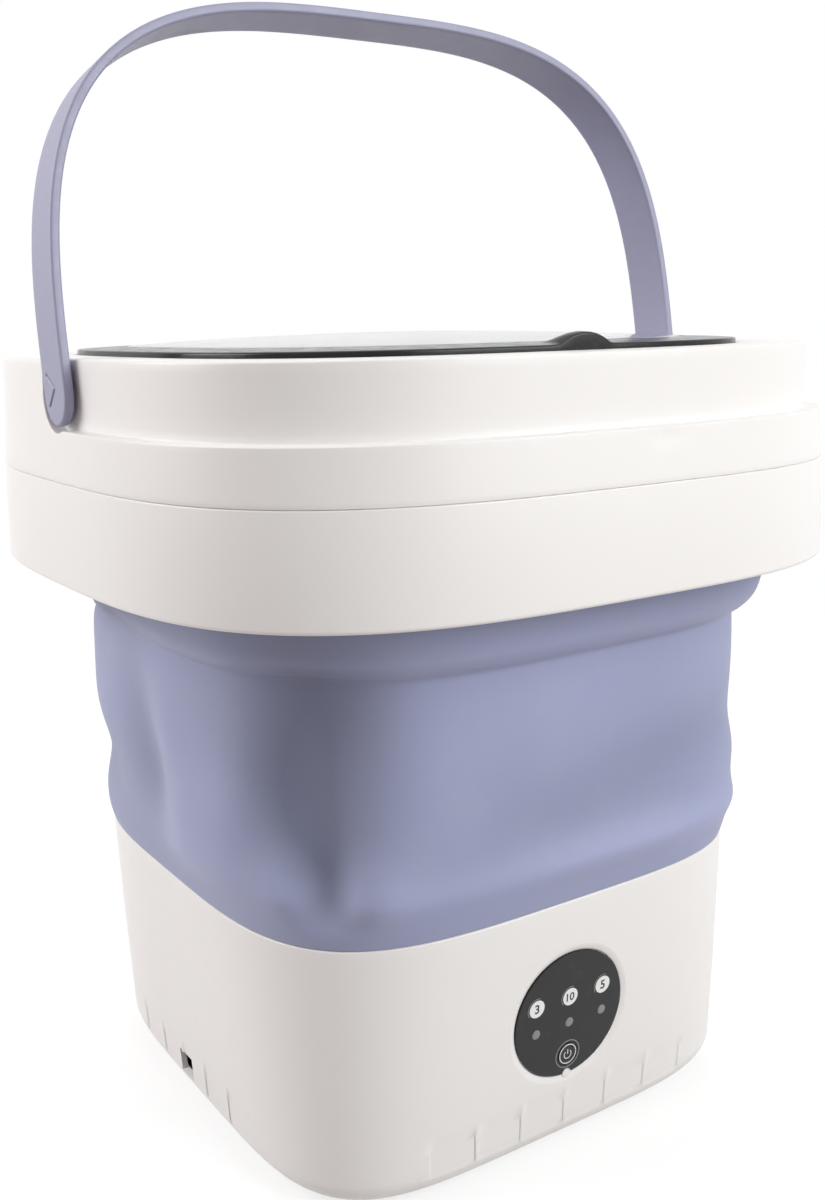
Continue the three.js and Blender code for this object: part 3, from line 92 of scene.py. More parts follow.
class WasherShape(bpy.types.PropertyGroup):
    """Levels, half-widths and edges of the visible shells"""

    foot_drop: length("Foot drop", "Gap between the floor and the casing", 0.0015)
    base_top: length("Base top", "Height of the casing's top edge", 0.0996)
    base_foot_half: length("Base foot half-width", "Half-width of the casing at its foot", 0.0993)
    base_top_half: length("Base top half-width", "Half-width of the casing at its top", 0.1054)
    base_fillet: length("Base fillet", "Radius of the casing's lower edge", 0.012)
    base_wall: length("Base wall", "Thickness of the casing", 0.0026)
    grip_pitch: length("Grip pitch", "Spacing of the finger recesses", 0.0196)
    grip_rib: length("Grip rib", "Width of the rib between two recesses", 0.0016)
    grip_depth: length("Grip depth", "Depth of the finger recesses", 0.00042)
    grip_bottom: length("Grip bottom", "Lower end of the finger recesses", 0.0106)
    grip_top: length("Grip top", "Upper end of the finger recesses", 0.0214)
    soft_foot: length("Soft wall foot", "Height of the soft wall's foot", 0.0999)
    soft_top: length("Soft wall top", "Height of the soft wall's top", 0.2551)
    soft_half: length("Soft wall half-width", "Half-width of the soft wall at its foot", 0.10525)
    soft_thick: length("Soft wall thickness", "Thickness of the soft wall", 0.0024)
    soft_bulge: length("Soft wall bulge", "How far the soft wall stands out in its middle", 0.0042)
    soft_fold: length("Fold depth", "Depth of the soft wall's deepest fold", 0.0046)
    soft_crease: length("Crease", "Height at which the soft wall turns out to the ring", 0.1894)
    ring_bottom: length("Ring bottom", "Height of the upper ring's lower edge", 0.2109)
    ring_seam: length("Ring seam", "Height of the seam between skirt and frame", 0.2461)
    ring_ledge: length("Ring ledge", "Height of the ledge that the handle folds onto", 0.2631)
    ring_top: length("Ring top", "Height of the upper ring's top", 0.2859)
    ring_bottom_half: length("Ring bottom half-width", "Half-width at the ring's lower edge", 0.1373)
    ring_seam_half: length("Ring seam half-width", "Half-width at the ring's seam", 0.1363)
    ring_ledge_half: length("Ring ledge half-width", "Half-width at the ring's ledge", 0.135)
    ring_top_half: length("Ring top half-width", "Half-width at the ring's top", 0.1342)
    recess_half: length("Recess half-width", "Half-width of the band behind the folded handle", 0.130)
    mouth_half: length("Mouth half-width", "Half-width of the opening under the lid", 0.104)
    lid_half: length("Lid half-width", "Half-width of the lid", 0.109)
    strap_width: length("Strap width", "Width of the handle's strap", 0.0204)
    strap_thick: length("Strap thickness", "Thickness of the handle's strap", 0.00335)
    strap_edge: length("Strap edge", "Rounding of the strap's edges", 0.0009)
    arch_half: length("Arch half-width", "Half-width of the handle", 0.13485)
    arch_height: length("Arch height", "Height of the handle above its pivots", 0.13205)
    pivot_forward: length("Pivot forward", "How far the pivots stand before the middle", 0.002)
    pivot_height: length("Pivot height", "Height of the handle's pivots", 0.2745)
    panel_height: length("Panel height", "Height of the control panel's middle", 0.0549)
    panel_radius: length("Panel radius", "Radius of the control panel's recess", 0.0244)
    panel_recess: length("Panel recess", "Depth of the control panel's recess", 0.0012)
    spout_height: length("Spout height", "Height of the drain spout", 0.0564)


class WasherFinish(bpy.types.PropertyGroup):
    """Colours of the finishes"""

    white: colour("White plastic", "Casing and upper ring", 239, 237, 236)
    lavender: colour("Lavender silicone", "Soft wall", 152, 158, 190)
    strap: colour("Lavender plastic", "Carrying handle", 150, 150, 176)
    black: colour("Black plastic", "Lid rim and jack", 22, 22, 23)
    panel: colour("Panel black", "Control panel", 34, 34, 36)
    print: colour("Panel print", "Marks on the control panel", 236, 236, 236)
    lamp: colour("Lamp grey", "Unlit lamps of the control panel", 132, 132, 134)
    clear: colour("Clear plastic", "Lid window", 238, 240, 242)
    rubber: colour("Grey rubber", "Seals and stopper", 150, 150, 154)
    dark_rubber: colour("Black rubber", "Feet and belt", 38, 38, 40)
    steel: colour("Steel", "Screws, shaft and motor", 190, 192, 195)
    board: colour("Board green", "Circuit board", 47, 107, 69)


class WasherStage(bpy.types.PropertyGroup):
    """Camera and lamps"""

    camera_lens: number("Camera lens", "Focal length for a 36 mm tall picture", 38.854)
    left_power: number("Left lamp", "Power of the soft lamp at the left, in watts", 15.8)
    right_power: number("Right lamp", "Power of the soft lamp at the right, in watts", 17.3)
    top_power: number("Top lamp", "Power of the soft lamp overhead, in watts", 4.0)
    back_power: number("Back lamp", "Power of the soft lamp behind, in watts", 6.0)
    ambient: number("Ambient", "Strength of the light from all round", 0.22)


def shape():
    """The washer's sizes in millimetres, by name."""
    group = bpy.context.scene.washer_shape
    names = group.__annotations__
    return types.SimpleNamespace(**{name: getattr(group, name) / MILLIMETRE for name in names})


# Curves and grids

def reach(angle, squareness):
    """Distance from the axis to a rounded square of unit half-width: |x|^n + |y|^n = 1 at that angle."""
    across = np.abs(np.cos(angle)) ** squareness
    along = np.abs(np.sin(angle)) ** squareness
    return (across + along) ** (-1 / squareness)


def face_depth(across, half, squareness):
    """Distance from the axis of a rounded square's face, a given way across it."""
    return half * (1 - np.abs(across / half) ** squareness) ** (1 / squareness)


def even_angles(count):
    """Angles round the axis at even steps."""
    return np.linspace(0, FULL_TURN, count, endpoint=False)


def crowded(count):
    """Angles round the axis, drawn towards the corners: a + 0.1 sin 4a."""
    angle = even_angles(count)
    return angle + 0.1 * np.sin(4 * angle)


def near_front(spread, count):
    """Angles close to the middle of the front, up to a spread on both sides."""
    return np.mod(-np.pi / 2 + np.linspace(-spread, spread, count), FULL_TURN)


def quarter_turn(steps):
    """Angles of a quarter turn without its start."""
    return np.linspace(0, np.pi / 2, steps + 1)[1:]


def smoothstep(low, high, value):
    """0 below low, 1 above high, and t t (3 - 2 t) between."""
    share = np.clip((value - low) / (high - low), 0, 1)
    return share * share * (3 - 2 * share)


def between(low, high, value, low_soft, high_soft):
    """1 between low and high and 0 outside, with a smooth step as wide as twice each softness."""
    return (smoothstep(low - low_soft, low + low_soft, value)
            * smoothstep(-high - high_soft, -high + high_soft, -value))


def mix(first, second, share):
    """The straight line between two values."""
    return first + (second - first) * share


def rounded(corners, steps, closed=True):
    """An outline from (half, height, radius) corners: each corner becomes a circle's arc of its radius.

    The arc is a rational curve (A(1-t)^2 + 2kPt(1-t) + Bt^2) / (same weights), where A and B are its
    ends on both sides of corner P and k is the sine of half the corner's angle."""
    corners = np.array(corners, float)
    place, radius = corners[:, :2], corners[:, 2]
    before, after = np.roll(place, 1, 0) - place, np.roll(place, -1, 0) - place
    before /= np.maximum(np.linalg.norm(before, axis=1, keepdims=True), 1e-9)
    after /= np.maximum(np.linalg.norm(after, axis=1, keepdims=True), 1e-9)
    half_angle = np.arccos(np.clip((before * after).sum(1), -1, 1)) / 2
    run = (radius / np.tan(np.maximum(half_angle, 1e-3)))[:, None]
    if not closed:
        run[[0, -1]] = 0
    start, end = place + before * run, place + after * run
    t = np.linspace(0, 1, steps + 1)[None, :, None]
    weight = np.sin(half_angle)[:, None, None]
    top = (1 - t) ** 2 * start[:, None] + 2 * t * (1 - t) * weight * place[:, None] + t ** 2 * end[:, None]
    outline = top / ((1 - t) ** 2 + 2 * t * (1 - t) * weight + t ** 2)
    return outline.reshape(-1, 2)


def summed(steps):
    """The running total of steps, from 0."""
    return np.concatenate([[0], np.cumsum(steps)])


def divided(outline, longest):
    """An outline with points added so that no step is longer than the given one."""
    gaps = np.linalg.norm(np.diff(outline, axis=0), axis=1)
    place = summed(np.maximum(np.ceil(gaps / longest).astype(int), 1))
    steps = np.arange(place[-1] + 1)
    return np.stack([np.interp(steps, place, outline[:, i]) for i in range(2)], 1)


def resampled(line, count, weight=None):
    """A polyline redrawn with a count of points, closer together where the weight is higher.

    The second value is each new point's share of the way along."""
    weight = np.ones(len(line)) if weight is None else weight
    step = np.linalg.norm(np.diff(line, axis=0), axis=1)
    run = summed(step)
    load = summed(step * (weight[1:] + weight[:-1]) / 2)
    at = np.interp(np.linspace(0, load[-1], count), load, run)
    return np.stack([np.interp(at, run, line[:, i]) for i in range(2)], 1), at / run[-1]


def softened(line, window):
    """A polyline whose corners are rounded by a running mean, weighted to its middle."""
    padded = np.pad(line, ((window, window), (0, 0)), mode="edge")
    kernel = np.hanning(2 * window + 1)
    kernel /= kernel.sum()
    return np.stack([np.convolve(padded[:, i], kernel, mode="valid") for i in range(2)], 1)


def through(points, count):
    """A smooth curve through points: each span is the cubic whose end slopes are half the step
    between the neighbours on both sides."""
    points = np.array(points, float)
    t = np.linspace(0, len(points) - 1, count)
    index = np.minimum(t.astype(int), len(points) - 2)
    share = (t - index)[:, None]
    last = len(points) - 1
    before, here = points[np.maximum(index - 1, 0)], points[index]
    there, after = points[index + 1], points[np.minimum(index + 2, last)]
    start, end = (there - before) / 2, (after - here) / 2
    return ((2 * here - 2 * there + start + end) * share ** 3
            + (-3 * here + 3 * there - 2 * start - end) * share ** 2 + start * share + here)


def grid_faces(rows, columns, around=True, closed=False):
    """Quads of a grid; its columns may go round and its last row may join its first."""
    row = np.arange(rows if closed else rows - 1)
    column = np.arange(columns if around else columns - 1)
    row, column = np.meshgrid(row, column, indexing="ij")
    next_row, next_column = (row + 1) % rows, (column + 1) % columns
    corners = [row * columns + column, row * columns + next_column,
               next_row * columns + next_column, next_row * columns + column]
    return np.stack(corners, -1).reshape(-1, 4)


def surface(points, around=True, closed=False):
    """A grid of points as (points, faces)."""
    return points.reshape(-1, 3), grid_faces(*points.shape[:2], around=around, closed=closed)


def round_axis(radius, angle, height):
    """Points at distances, angles and heights round the upright axis."""
    return np.stack([radius * np.cos(angle), radius * np.sin(angle), height + 0 * radius], -1)


def turned(outline, angles, squareness=2.0):
    """An outline of (half, height) carried round the axis: x, y = half reach(a, n) (cos a, sin a).

    The squareness n is a number, or a function of the half-width."""
    half, height = outline[:, :1], outline[:, 1:]
    radius = half * reach(angles[None], squareness(half) if callable(squareness) else squareness)
    return round_axis(radius, angles, height)


def turned_ring(corners, angles, squareness=2.0, steps=4):
    """A closed rounded section carried round the axis, as (points, faces)."""
    return surface(turned(rounded(corners, steps), angles, squareness), closed=True)


def turned_cap(corners, count, steps=4, longest=None):
    """A section that starts and ends on the axis, carried round it, as (points, faces)."""
    outline = rounded(corners, steps, closed=False)
    if longest:
        outline = divided(outline, longest)
    return surface(turned(outline, even_angles(count)))


def moved(part, matrix):
    """A surface moved by a 4 x 4 matrix."""
    points, faces = part
    matrix = np.array(matrix)
    return points @ matrix[:3, :3].T + matrix[:3, 3], faces


def shifted(part, x=0.0, y=0.0, z=0.0):
    """A surface moved along the axes."""
    return part[0] + np.array([x, y, z]), part[1]


def facing_out(part, x, z):
    """A part made on the upright axis, laid so that its top faces out of the panel at (x, z)."""
    return shifted(moved(part, Matrix.Rotation(math.pi / 2, 4, "X")), x, 0, z)


# Pieces

def add_piece(name, parts, finish, body, nodes, sharp=32, merge=1e-6, attributes=None):
    """Joins surfaces into one mesh object that rides on a body and stands for CAD nodes.

    Points nearer than the merging distance, in metres, become one, so seams and poles are closed, and
    faces are turned outwards. Edges that turn by more than the sharp angle, in degrees, stay crisp."""
    starts = np.cumsum([0] + [len(points) for points, _ in parts[:-1]])
    points = np.concatenate([part[0] for part in parts]) * MILLIMETRE
    faces = np.concatenate([part[1] + start for part, start in zip(parts, starts)])
    mesh = bpy.data.meshes.new(name)
    mesh.vertices.add(len(points))
    mesh.vertices.foreach_set("co", points.astype(np.float32).ravel())
    mesh.loops.add(faces.size)
    mesh.loops.foreach_set("vertex_index", faces.astype(np.int32).ravel())
    mesh.polygons.add(len(faces))
    mesh.polygons.foreach_set("loop_start", np.arange(0, faces.size, faces.shape[1], dtype=np.int32))
    for key, values in (attributes or {}).items():
        mesh.attributes.new(key, "FLOAT", "POINT").data.foreach_set("value", values.astype(np.float32))
    mesh.update(calc_edges=True)
    solid = bmesh.new()
    solid.from_mesh(mesh)
    bmesh.ops.remove_doubles(solid, verts=solid.verts, dist=merge)
    bmesh.ops.dissolve_degenerate(solid, edges=solid.edges, dist=1e-7)
    bmesh.ops.recalc_face_normals(solid, faces=solid.faces)
    solid.to_mesh(mesh)
    solid.free()
    mesh.shade_smooth()
    mesh.set_sharp_from_angle(angle=math.radians(sharp))
    mesh.materials.append(material_named(finish))
    piece = bpy.data.objects.new(name, mesh)
    bpy.context.collection.objects.link(piece)
    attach(piece, body)
    if nodes:
        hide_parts(*nodes)
    return piece


# Finishes

# Colours of the dust on plastic and on silicone
DUST, SILICONE_DUST = (0.72, 0.70, 0.67), (0.55, 0.54, 0.58)


def feed(tree, made, **inputs):
    """Sets a shader node's inputs: each to a value, or to the socket that feeds it.

    An input is given by its name with _ for each space, or by its number after a _."""
    for key, value in inputs.items():
        socket = made.inputs[int(key[1:]) if key.startswith("_") else key.replace("_", " ")]
        if isinstance(value, bpy.types.NodeSocket):
            tree.links.new(value, socket)
        else:
            socket.default_value = value
    return made


def node(tree, kind, **inputs):
    """Adds a shader node and sets its inputs."""
    return feed(tree, tree.nodes.new(kind), **inputs)


def noise(tree, place, scale, detail, roughness=0.6):
    """Cloudy noise from 0 to 1 at a place."""
    made = node(tree, "ShaderNodeTexNoise", Vector=place, Scale=scale, Detail=detail, Roughness=roughness)
    return made.outputs["Fac"]


def ramp(tree, value, low, high, dark, light):
    """A value's range from low to high drawn out to dark to light."""
    made = node(
        tree, "ShaderNodeMapRange", Value=value, From_Min=low, From_Max=high, To_Min=dark, To_Max=light)
    return made.outputs["Result"]


def marked(tree, name):
    """The value that a mesh carries under an attribute's name."""
    mark = tree.nodes.new("ShaderNodeAttribute")
    mark.attribute_name = name
    return mark.outputs["Fac"]


def blended(tree, share, first, second):
    """Two colours blended by a share."""
    made = tree.nodes.new("ShaderNodeMix")
    made.data_type = "RGBA"
    pair = [value if isinstance(value, bpy.types.NodeSocket) else (*tuple(value)[:3], 1)
            for value in (first, second)]
    return feed(tree, made, _0=share, _6=pair[0], _7=pair[1]).outputs[2]


def bumped(tree, height, distance, strength=1.0, under=None):
    """A normal raised by a height map, on top of another normal if there is one."""
    made = node(tree, "ShaderNodeBump", Height=height, Strength=strength, Distance=distance)
    if under is not None:
        feed(tree, made, Normal=under)
    return made.outputs["Normal"]


def begin(name):
    """The tree, shader and Object coordinates of a new material."""
    material = bpy.data.materials.new(f"Washer {name}")
    material.use_nodes = True
    tree = material.node_tree
    place = tree.nodes.new("ShaderNodeTexCoord").outputs["Object"]
    return tree, tree.nodes["Principled BSDF"], place


def shaded(value, share):
    """A colour made darker or lighter by a share."""
    return tuple(min(channel * share, 1) for channel in tuple(value)[:3])


def moulded(name, tint, rough, mottle, dust, grain=0.00002, specular=0.5, groove=None):
    """Moulded plastic: a slow mottle in its colour, faint dust, uneven gloss and a fine grain.

    Where an attribute, if one is named, marks a groove, painted shade darkens it."""
    tree, shader, place = begin(name)
    slow = noise(tree, place, 14.0, 2.0, 0.5)
    fine = noise(tree, place, 160.0, 4.0)
    grit = noise(tree, place, 2600.0, 2.0)
    base = blended(tree, slow, shaded(tint, 1 - mottle), shaded(tint, 1 + mottle))
    base = blended(tree, ramp(tree, fine, 0.52, 0.75, 0.0, dust), base, DUST)
    # Painted shade in the grooves: the colour falls to 0.22 of the tint where the attribute marks one
    if groove:
        base = blended(tree, marked(tree, groove), base, shaded(tint, 0.22))
    gloss = ramp(tree, fine, 0.3, 0.7, rough - 0.05, rough + 0.07)
    normal = bumped(tree, grit, grain, under=bumped(tree, slow, 0.00012, 0.4))
    feed(tree, shader, Base_Color=base, Roughness=gloss, Normal=normal, Specular_IOR_Level=specular)


def silicone(name, tint, hollow):
    """Silicone: a soft matt skin with a slow mottle, fine dust and a sheen at grazing angles.

    An attribute from -1 to 1 paints shade where the folds draw the wall in and paints light where they push
    it out."""
    tree, shader, place = begin(name)
    slow = noise(tree, place, 9.0, 3.0, 0.55)
    cloud = noise(tree, place, 45.0, 3.0)
    grit = noise(tree, place, 1900.0, 3.0)
    base = blended(tree, slow, shaded(tint, 0.94), shaded(tint, 1.07))
    base = blended(tree, ramp(tree, cloud, 0.45, 0.8, 0.0, 0.1), base, SILICONE_DUST)
    # Painted shade and light: the colour goes darker where the folds draw the wall in and paler where it
    # stands out
    fold = marked(tree, hollow)
    base = blended(tree, ramp(tree, fold, 0.0, 0.8, 0.0, 0.8), base, shaded(tint, 0.42))
    base = blended(tree, ramp(tree, fold, 0.0, -0.3, 0.0, 0.3), base, shaded(tint, 1.35))
    gloss = ramp(tree, cloud, 0.3, 0.7, 0.48, 0.62)
    normal = bumped(tree, grit, 0.00003, under=bumped(tree, cloud, 0.00025, 0.35))
    feed(tree, shader, Base_Color=base, Roughness=gloss, Normal=normal, Specular_IOR_Level=0.4,
         Sheen_Weight=0.12, Sheen_Roughness=0.45)


def metal(name, tint):
    """Brushed or rolled metal with uneven gloss."""
    tree, shader, place = begin(name)
    fine = noise(tree, place, 420.0, 4.0)
    base = blended(tree, fine, shaded(tint, 0.85), shaded(tint, 1.05))
    gloss = ramp(tree, fine, 0.3, 0.7, 0.22, 0.42)
    normal = bumped(tree, fine, 0.00003, 0.6)
    feed(tree, shader, Base_Color=base, Roughness=gloss, Normal=normal, Metallic=1.0)


def clear(name, tint):
    """Clear moulded plastic with a faint haze."""
    tree, shader, place = begin(name)
    haze = noise(tree, place, 60.0, 3.0)
    base = blended(tree, haze, shaded(tint, 0.93), shaded(tint, 1.0))
    gloss = ramp(tree, haze, 0.3, 0.7, 0.07, 0.11)
    normal = bumped(tree, haze, 0.00002, 0.2)
    feed(tree, shader, Base_Color=base, Roughness=gloss, Normal=normal, IOR=1.46, Transmission_Weight=0.86)


def make_materials(tint):
    """Makes every finish from the washer's colours."""
    moulded("white", tint.white, rough=0.36, mottle=0.012, dust=0.03)
    moulded("inner white", shaded(tint.white, 0.97), rough=0.3, mottle=0.012, dust=0.02)
    # The silicone's folds and the strap's grooves carry painted shade, and the folds' bulges painted light
    silicone("silicone", tint.lavender, hollow="hollow")
    moulded("strap", tint.strap, rough=0.4, mottle=0.025, dust=0.03, grain=0.000003, groove="groove")
    moulded("agitator", tint.lavender, rough=0.3, mottle=0.02, dust=0.02)
    moulded("black", tint.black, rough=0.2, mottle=0.05, dust=0.01, specular=0.25)
    moulded("panel", tint.panel, rough=0.16, mottle=0.02, dust=0.01, grain=0.000003, specular=0.34)
    moulded("print", tint.print, rough=0.4, mottle=0.01, dust=0.01)
    moulded("print dark", tint.panel, rough=0.4, mottle=0.01, dust=0.01)
    moulded("lamp", tint.lamp, rough=0.2, mottle=0.05, dust=0.02)
    clear("clear", tint.clear)
    moulded("rubber", tint.rubber, rough=0.6, mottle=0.04, dust=0.12, specular=0.3)
    moulded("black rubber", tint.dark_rubber, rough=0.7, mottle=0.08, dust=0.16, specular=0.3)
    metal("steel", tint.steel)
    moulded("board", tint.board, rough=0.4, mottle=0.06, dust=0.05)


def material_named(name):
    """One of the washer's materials; the first call makes them all."""
    if "Washer white" not in bpy.data.materials:
        make_materials(bpy.context.scene.washer_finish)
    return bpy.data.materials[f"Washer {name}"]


# The casing

# Sides are counted round from the front
FRONT, BACK, LEFT = 0, 2, 3

# Openings: heights from and to, and places across their side from and to, in millimetres
SOCKET_WINDOW = ((10.0, 19.6), (-13.5, -2.5))
DRAIN_OPENING = ((45.4, 67.4), (-10.0, 10.0))
PANEL_OPENING = ((26.4, 83.4), (-29.0, 29.0))

# Radius of the drain's hole, and width and depth of the bevel round the panel
DRAIN_RADIUS = 6.8
BEVEL_WIDTH, BEVEL_DEPTH = 2.3, 0.72

# Half the width of the soft step at a finger recess's edges, and of the longer one at its foot
GRIP_SOFTNESS, GRIP_FOOT_SOFTNESS = 0.22, 1.0

# Squareness of the casing at its foot and top, and of the upper ring
FOOT_SQUARENESS, TOP_SQUARENESS, RING_SQUARENESS = 4.95, 3.95, 3.32


def base_share(size, height):
    """Share of the way from the casing's foot to its top."""
    return (height - size.foot_drop) / (size.base_top - size.foot_drop)


def base_half(size, height):
    """Half-width of the casing's outer face: a straight line from its foot to its top."""
    return mix(size.base_foot_half, size.base_top_half, base_share(size, height))


def base_squareness(size, height):
    """Squareness of the casing's outline, squarer at its foot."""
    return mix(FOOT_SQUARENESS, TOP_SQUARENESS, np.clip(base_share(size, height), 0, 1))


def base_draft(size):
    """Angle by which the casing's faces lean out."""
    return math.atan((size.base_top_half - size.base_foot_half) / (size.base_top - size.foot_drop))


def side_angle(side, across, half, squareness):
    """Angle at which a side's face lies a given way across."""
    return np.mod(np.arctan2(-face_depth(across, half, squareness), across) + side * np.pi / 2, FULL_TURN)


def grip_edges(size, side):
    """Places across a side where a finger recess starts or ends."""
    count = 6 if side in (FRONT, BACK) else 5
    middle = (np.arange(count) - (count - 1) / 2) * size.grip_pitch
    half = (size.grip_pitch - size.grip_rib) / 2
    return np.stack([middle - half, middle + half], 1)


def casing_angles(size, half, squareness):
    """Columns of the casing: crowded at the corners, with a pair at each edge of a recess or window."""
    wanted = [(LEFT, SOCKET_WINDOW[1]), (FRONT, PANEL_OPENING[1]), (BACK, DRAIN_OPENING[1])]
    for side in range(4):
        places = grip_edges(size, side).ravel()
        wanted.append((side, np.concatenate([places - GRIP_SOFTNESS, places + GRIP_SOFTNESS])))
    edges = np.concatenate([side_angle(side, np.array(across), half, squareness) for side, across in wanted])
    free = crowded(256)
    closest = 0.7
    near = np.abs(free[:, None] - edges[None]).min(1) * half
    return np.unique(np.round(np.concatenate([free[near > closest], edges]), 7))


def casing_rows(size):
    """Rows of the casing as outer and inner (half, height) and the outward normal of each.

    The lower edge is a circle's arc between the flat underside and the drafted wall."""
    draft = base_draft(size)
    centre_height = size.foot_drop + size.base_fillet
    centre_half = base_half(size, centre_height) - size.base_fillet / math.cos(draft)
    steps = centre_height - size.grip_bottom + np.array([-GRIP_FOOT_SOFTNESS, GRIP_FOOT_SOFTNESS])
    sill = centre_height - SOCKET_WINDOW[0][0]
    edges = np.arccos(np.append(steps, sill) / size.base_fillet)
    turn = np.unique(np.concatenate([np.linspace(0, np.pi / 2 - draft, 15), edges]))
    least_turn, least_rise = 0.008, 0.3
    turn = turn[np.concatenate([[True], np.diff(turn) > least_turn])]
    arc = np.stack([np.sin(turn), -np.cos(turn)], 1)
    centre, lip = np.array([centre_half, centre_height]), 2.2
    skins = []
    for radius in (size.base_fillet, size.base_fillet - size.base_wall):
        round_edge = centre + radius * arc
        skins.append(np.concatenate([[[centre_half - lip, round_edge[0, 1]]], round_edge]))
    outer, inner = skins
    normal = np.concatenate([[[0, -1]], arc])
    top_edge, wall_foot = 0.7, 14
    height = np.unique(np.concatenate([
        np.linspace(wall_foot, size.base_top - top_edge, 24), SOCKET_WINDOW[0][1:], DRAIN_OPENING[0],
        PANEL_OPENING[0], size.grip_top + np.array([-GRIP_SOFTNESS, GRIP_SOFTNESS])]))
    height = height[np.concatenate([[True], np.diff(height) > least_rise])]
    wall = np.stack([base_half(size, height), height], 1)
    turn = quarter_turn(4)
    top_half = base_half(size, size.base_top)
    last = np.stack([
        top_half - top_edge * (1 - np.cos(turn)), size.base_top - top_edge * (1 - np.sin(turn))], 1)
    inner_wall = wall - np.array([size.base_wall, 0])
    inner_last = np.stack([np.full(len(turn), top_half - size.base_wall), last[:, 1]], 1)
    face = np.array([[math.cos(draft), -math.sin(draft)]])
    return (np.concatenate([outer, wall, last]), np.concatenate([inner, inner_wall, inner_last]),
            np.concatenate([normal, np.repeat(face, len(wall) + len(last), 0)]))


def grip_depth(size, angles, heights, half, squareness):
    """Depth of the finger recesses at each height and angle: full inside a window, none outside."""
    radius = half * reach(angles, squareness)
    x, y = radius * np.cos(angles), radius * np.sin(angles)
    depth = np.zeros(len(angles))
    for side, (facing, across) in enumerate(((-y, x), (x, y), (y, -x), (-x, -y))):
        for start, end in grip_edges(size, side):
            inside = between(start, end, across, GRIP_SOFTNESS, GRIP_SOFTNESS)
            depth = np.maximum(depth, inside * (facing > half / 2))
    band = between(size.grip_bottom, size.grip_top, heights, GRIP_FOOT_SOFTNESS, GRIP_SOFTNESS)
    return size.grip_depth * band[:, None] * depth[None]


def block_loop(columns, row_span, column_span):
    """Point numbers round a block of a grid, in order."""
    (low, high), (left, right) = row_span, column_span
    line = np.arange(left, right)
    rise = np.arange(low, high)
    loop = [low * columns + line, rise * columns + right, high * columns + line[::-1] + 1,
            rise[::-1] * columns + columns + left]
    return np.concatenate(loop)


def without_block(faces, columns, row_span, column_span):
    """A grid's faces without those of a block."""
    row, column = faces[:, 0] // columns, faces[:, 0] % columns
    inside = ((row >= row_span[0]) & (row < row_span[1])
              & (column >= column_span[0]) & (column < column_span[1]))
    return faces[~inside]


def bridge(first, second):
    """Quads between two closed loops of point numbers."""
    return np.stack([first, np.roll(first, -1), np.roll(second, -1), second], 1)


def add_rings(points, faces, loop, rings):
    """Adds rings of points one after the other to a loop, with the quads between; gives the last."""
    for ring in rings:
        here = sum(len(part) for part in points) + np.arange(len(ring))
        faces.append(bridge(loop, here))
        points.append(ring)
        loop = here
    return loop


def panel_matrix(size):
    """The control panel's own axes: X right, Y inwards and Z up the drafted front face."""
    place = Matrix.Translation((0, -base_half(size, size.panel_height), size.panel_height))
    return np.array(place @ Matrix.Rotation(base_draft(size), 4, "X"))


def on_panel(size, *parts):
    """Parts made in the panel's own axes, moved to their places."""
    return [moved(part, panel_matrix(size)) for part in parts]


def drain_matrix(size):
    """The drain opening's axes at the back face: X to the left seen from behind, Y inwards, Z up."""
    place = Matrix.Translation((0, base_half(size, size.spout_height), size.spout_height))
    return np.array(place @ Matrix.Rotation(math.pi, 4, "Z"))


def on_face(size, points, inset=0.0):
    """Points drawn in or out along Y onto the casing's front or back face."""
    half = base_half(size, points[:, 2]) - inset
    depth = face_depth(points[:, 0], half, base_squareness(size, points[:, 2]))
    return np.stack([points[:, 0], np.sign(points[:, 1]) * depth, points[:, 2]], 1)


def on_patch(matrix, angle, distance, depth=0.0):
    """Points at angles and distances round the middle of a patch, at a depth below its face."""
    flat = np.stack([distance * np.cos(angle), depth + 0 * angle, distance * np.sin(angle)], 1)
    return moved((flat, None), matrix)[0]


def round_patch(size, edge, matrix, radius, inset=0.0):
    """Rings of points from a block's edge to a circle on the casing's face, and their angles.

    Each point keeps its angle round the circle's centre while its distance goes to the radius."""
    local = moved((edge, None), np.linalg.inv(matrix))[0]
    angle = np.arctan2(local[:, 2], local[:, 0])
    away = np.hypot(local[:, 0], local[:, 2])
    rings = [on_face(size, on_patch(matrix, angle, mix(away, radius, share)), inset)
             for share in (0.3, 0.6, 0.85, 0.97, 1.0)]
    return rings, angle


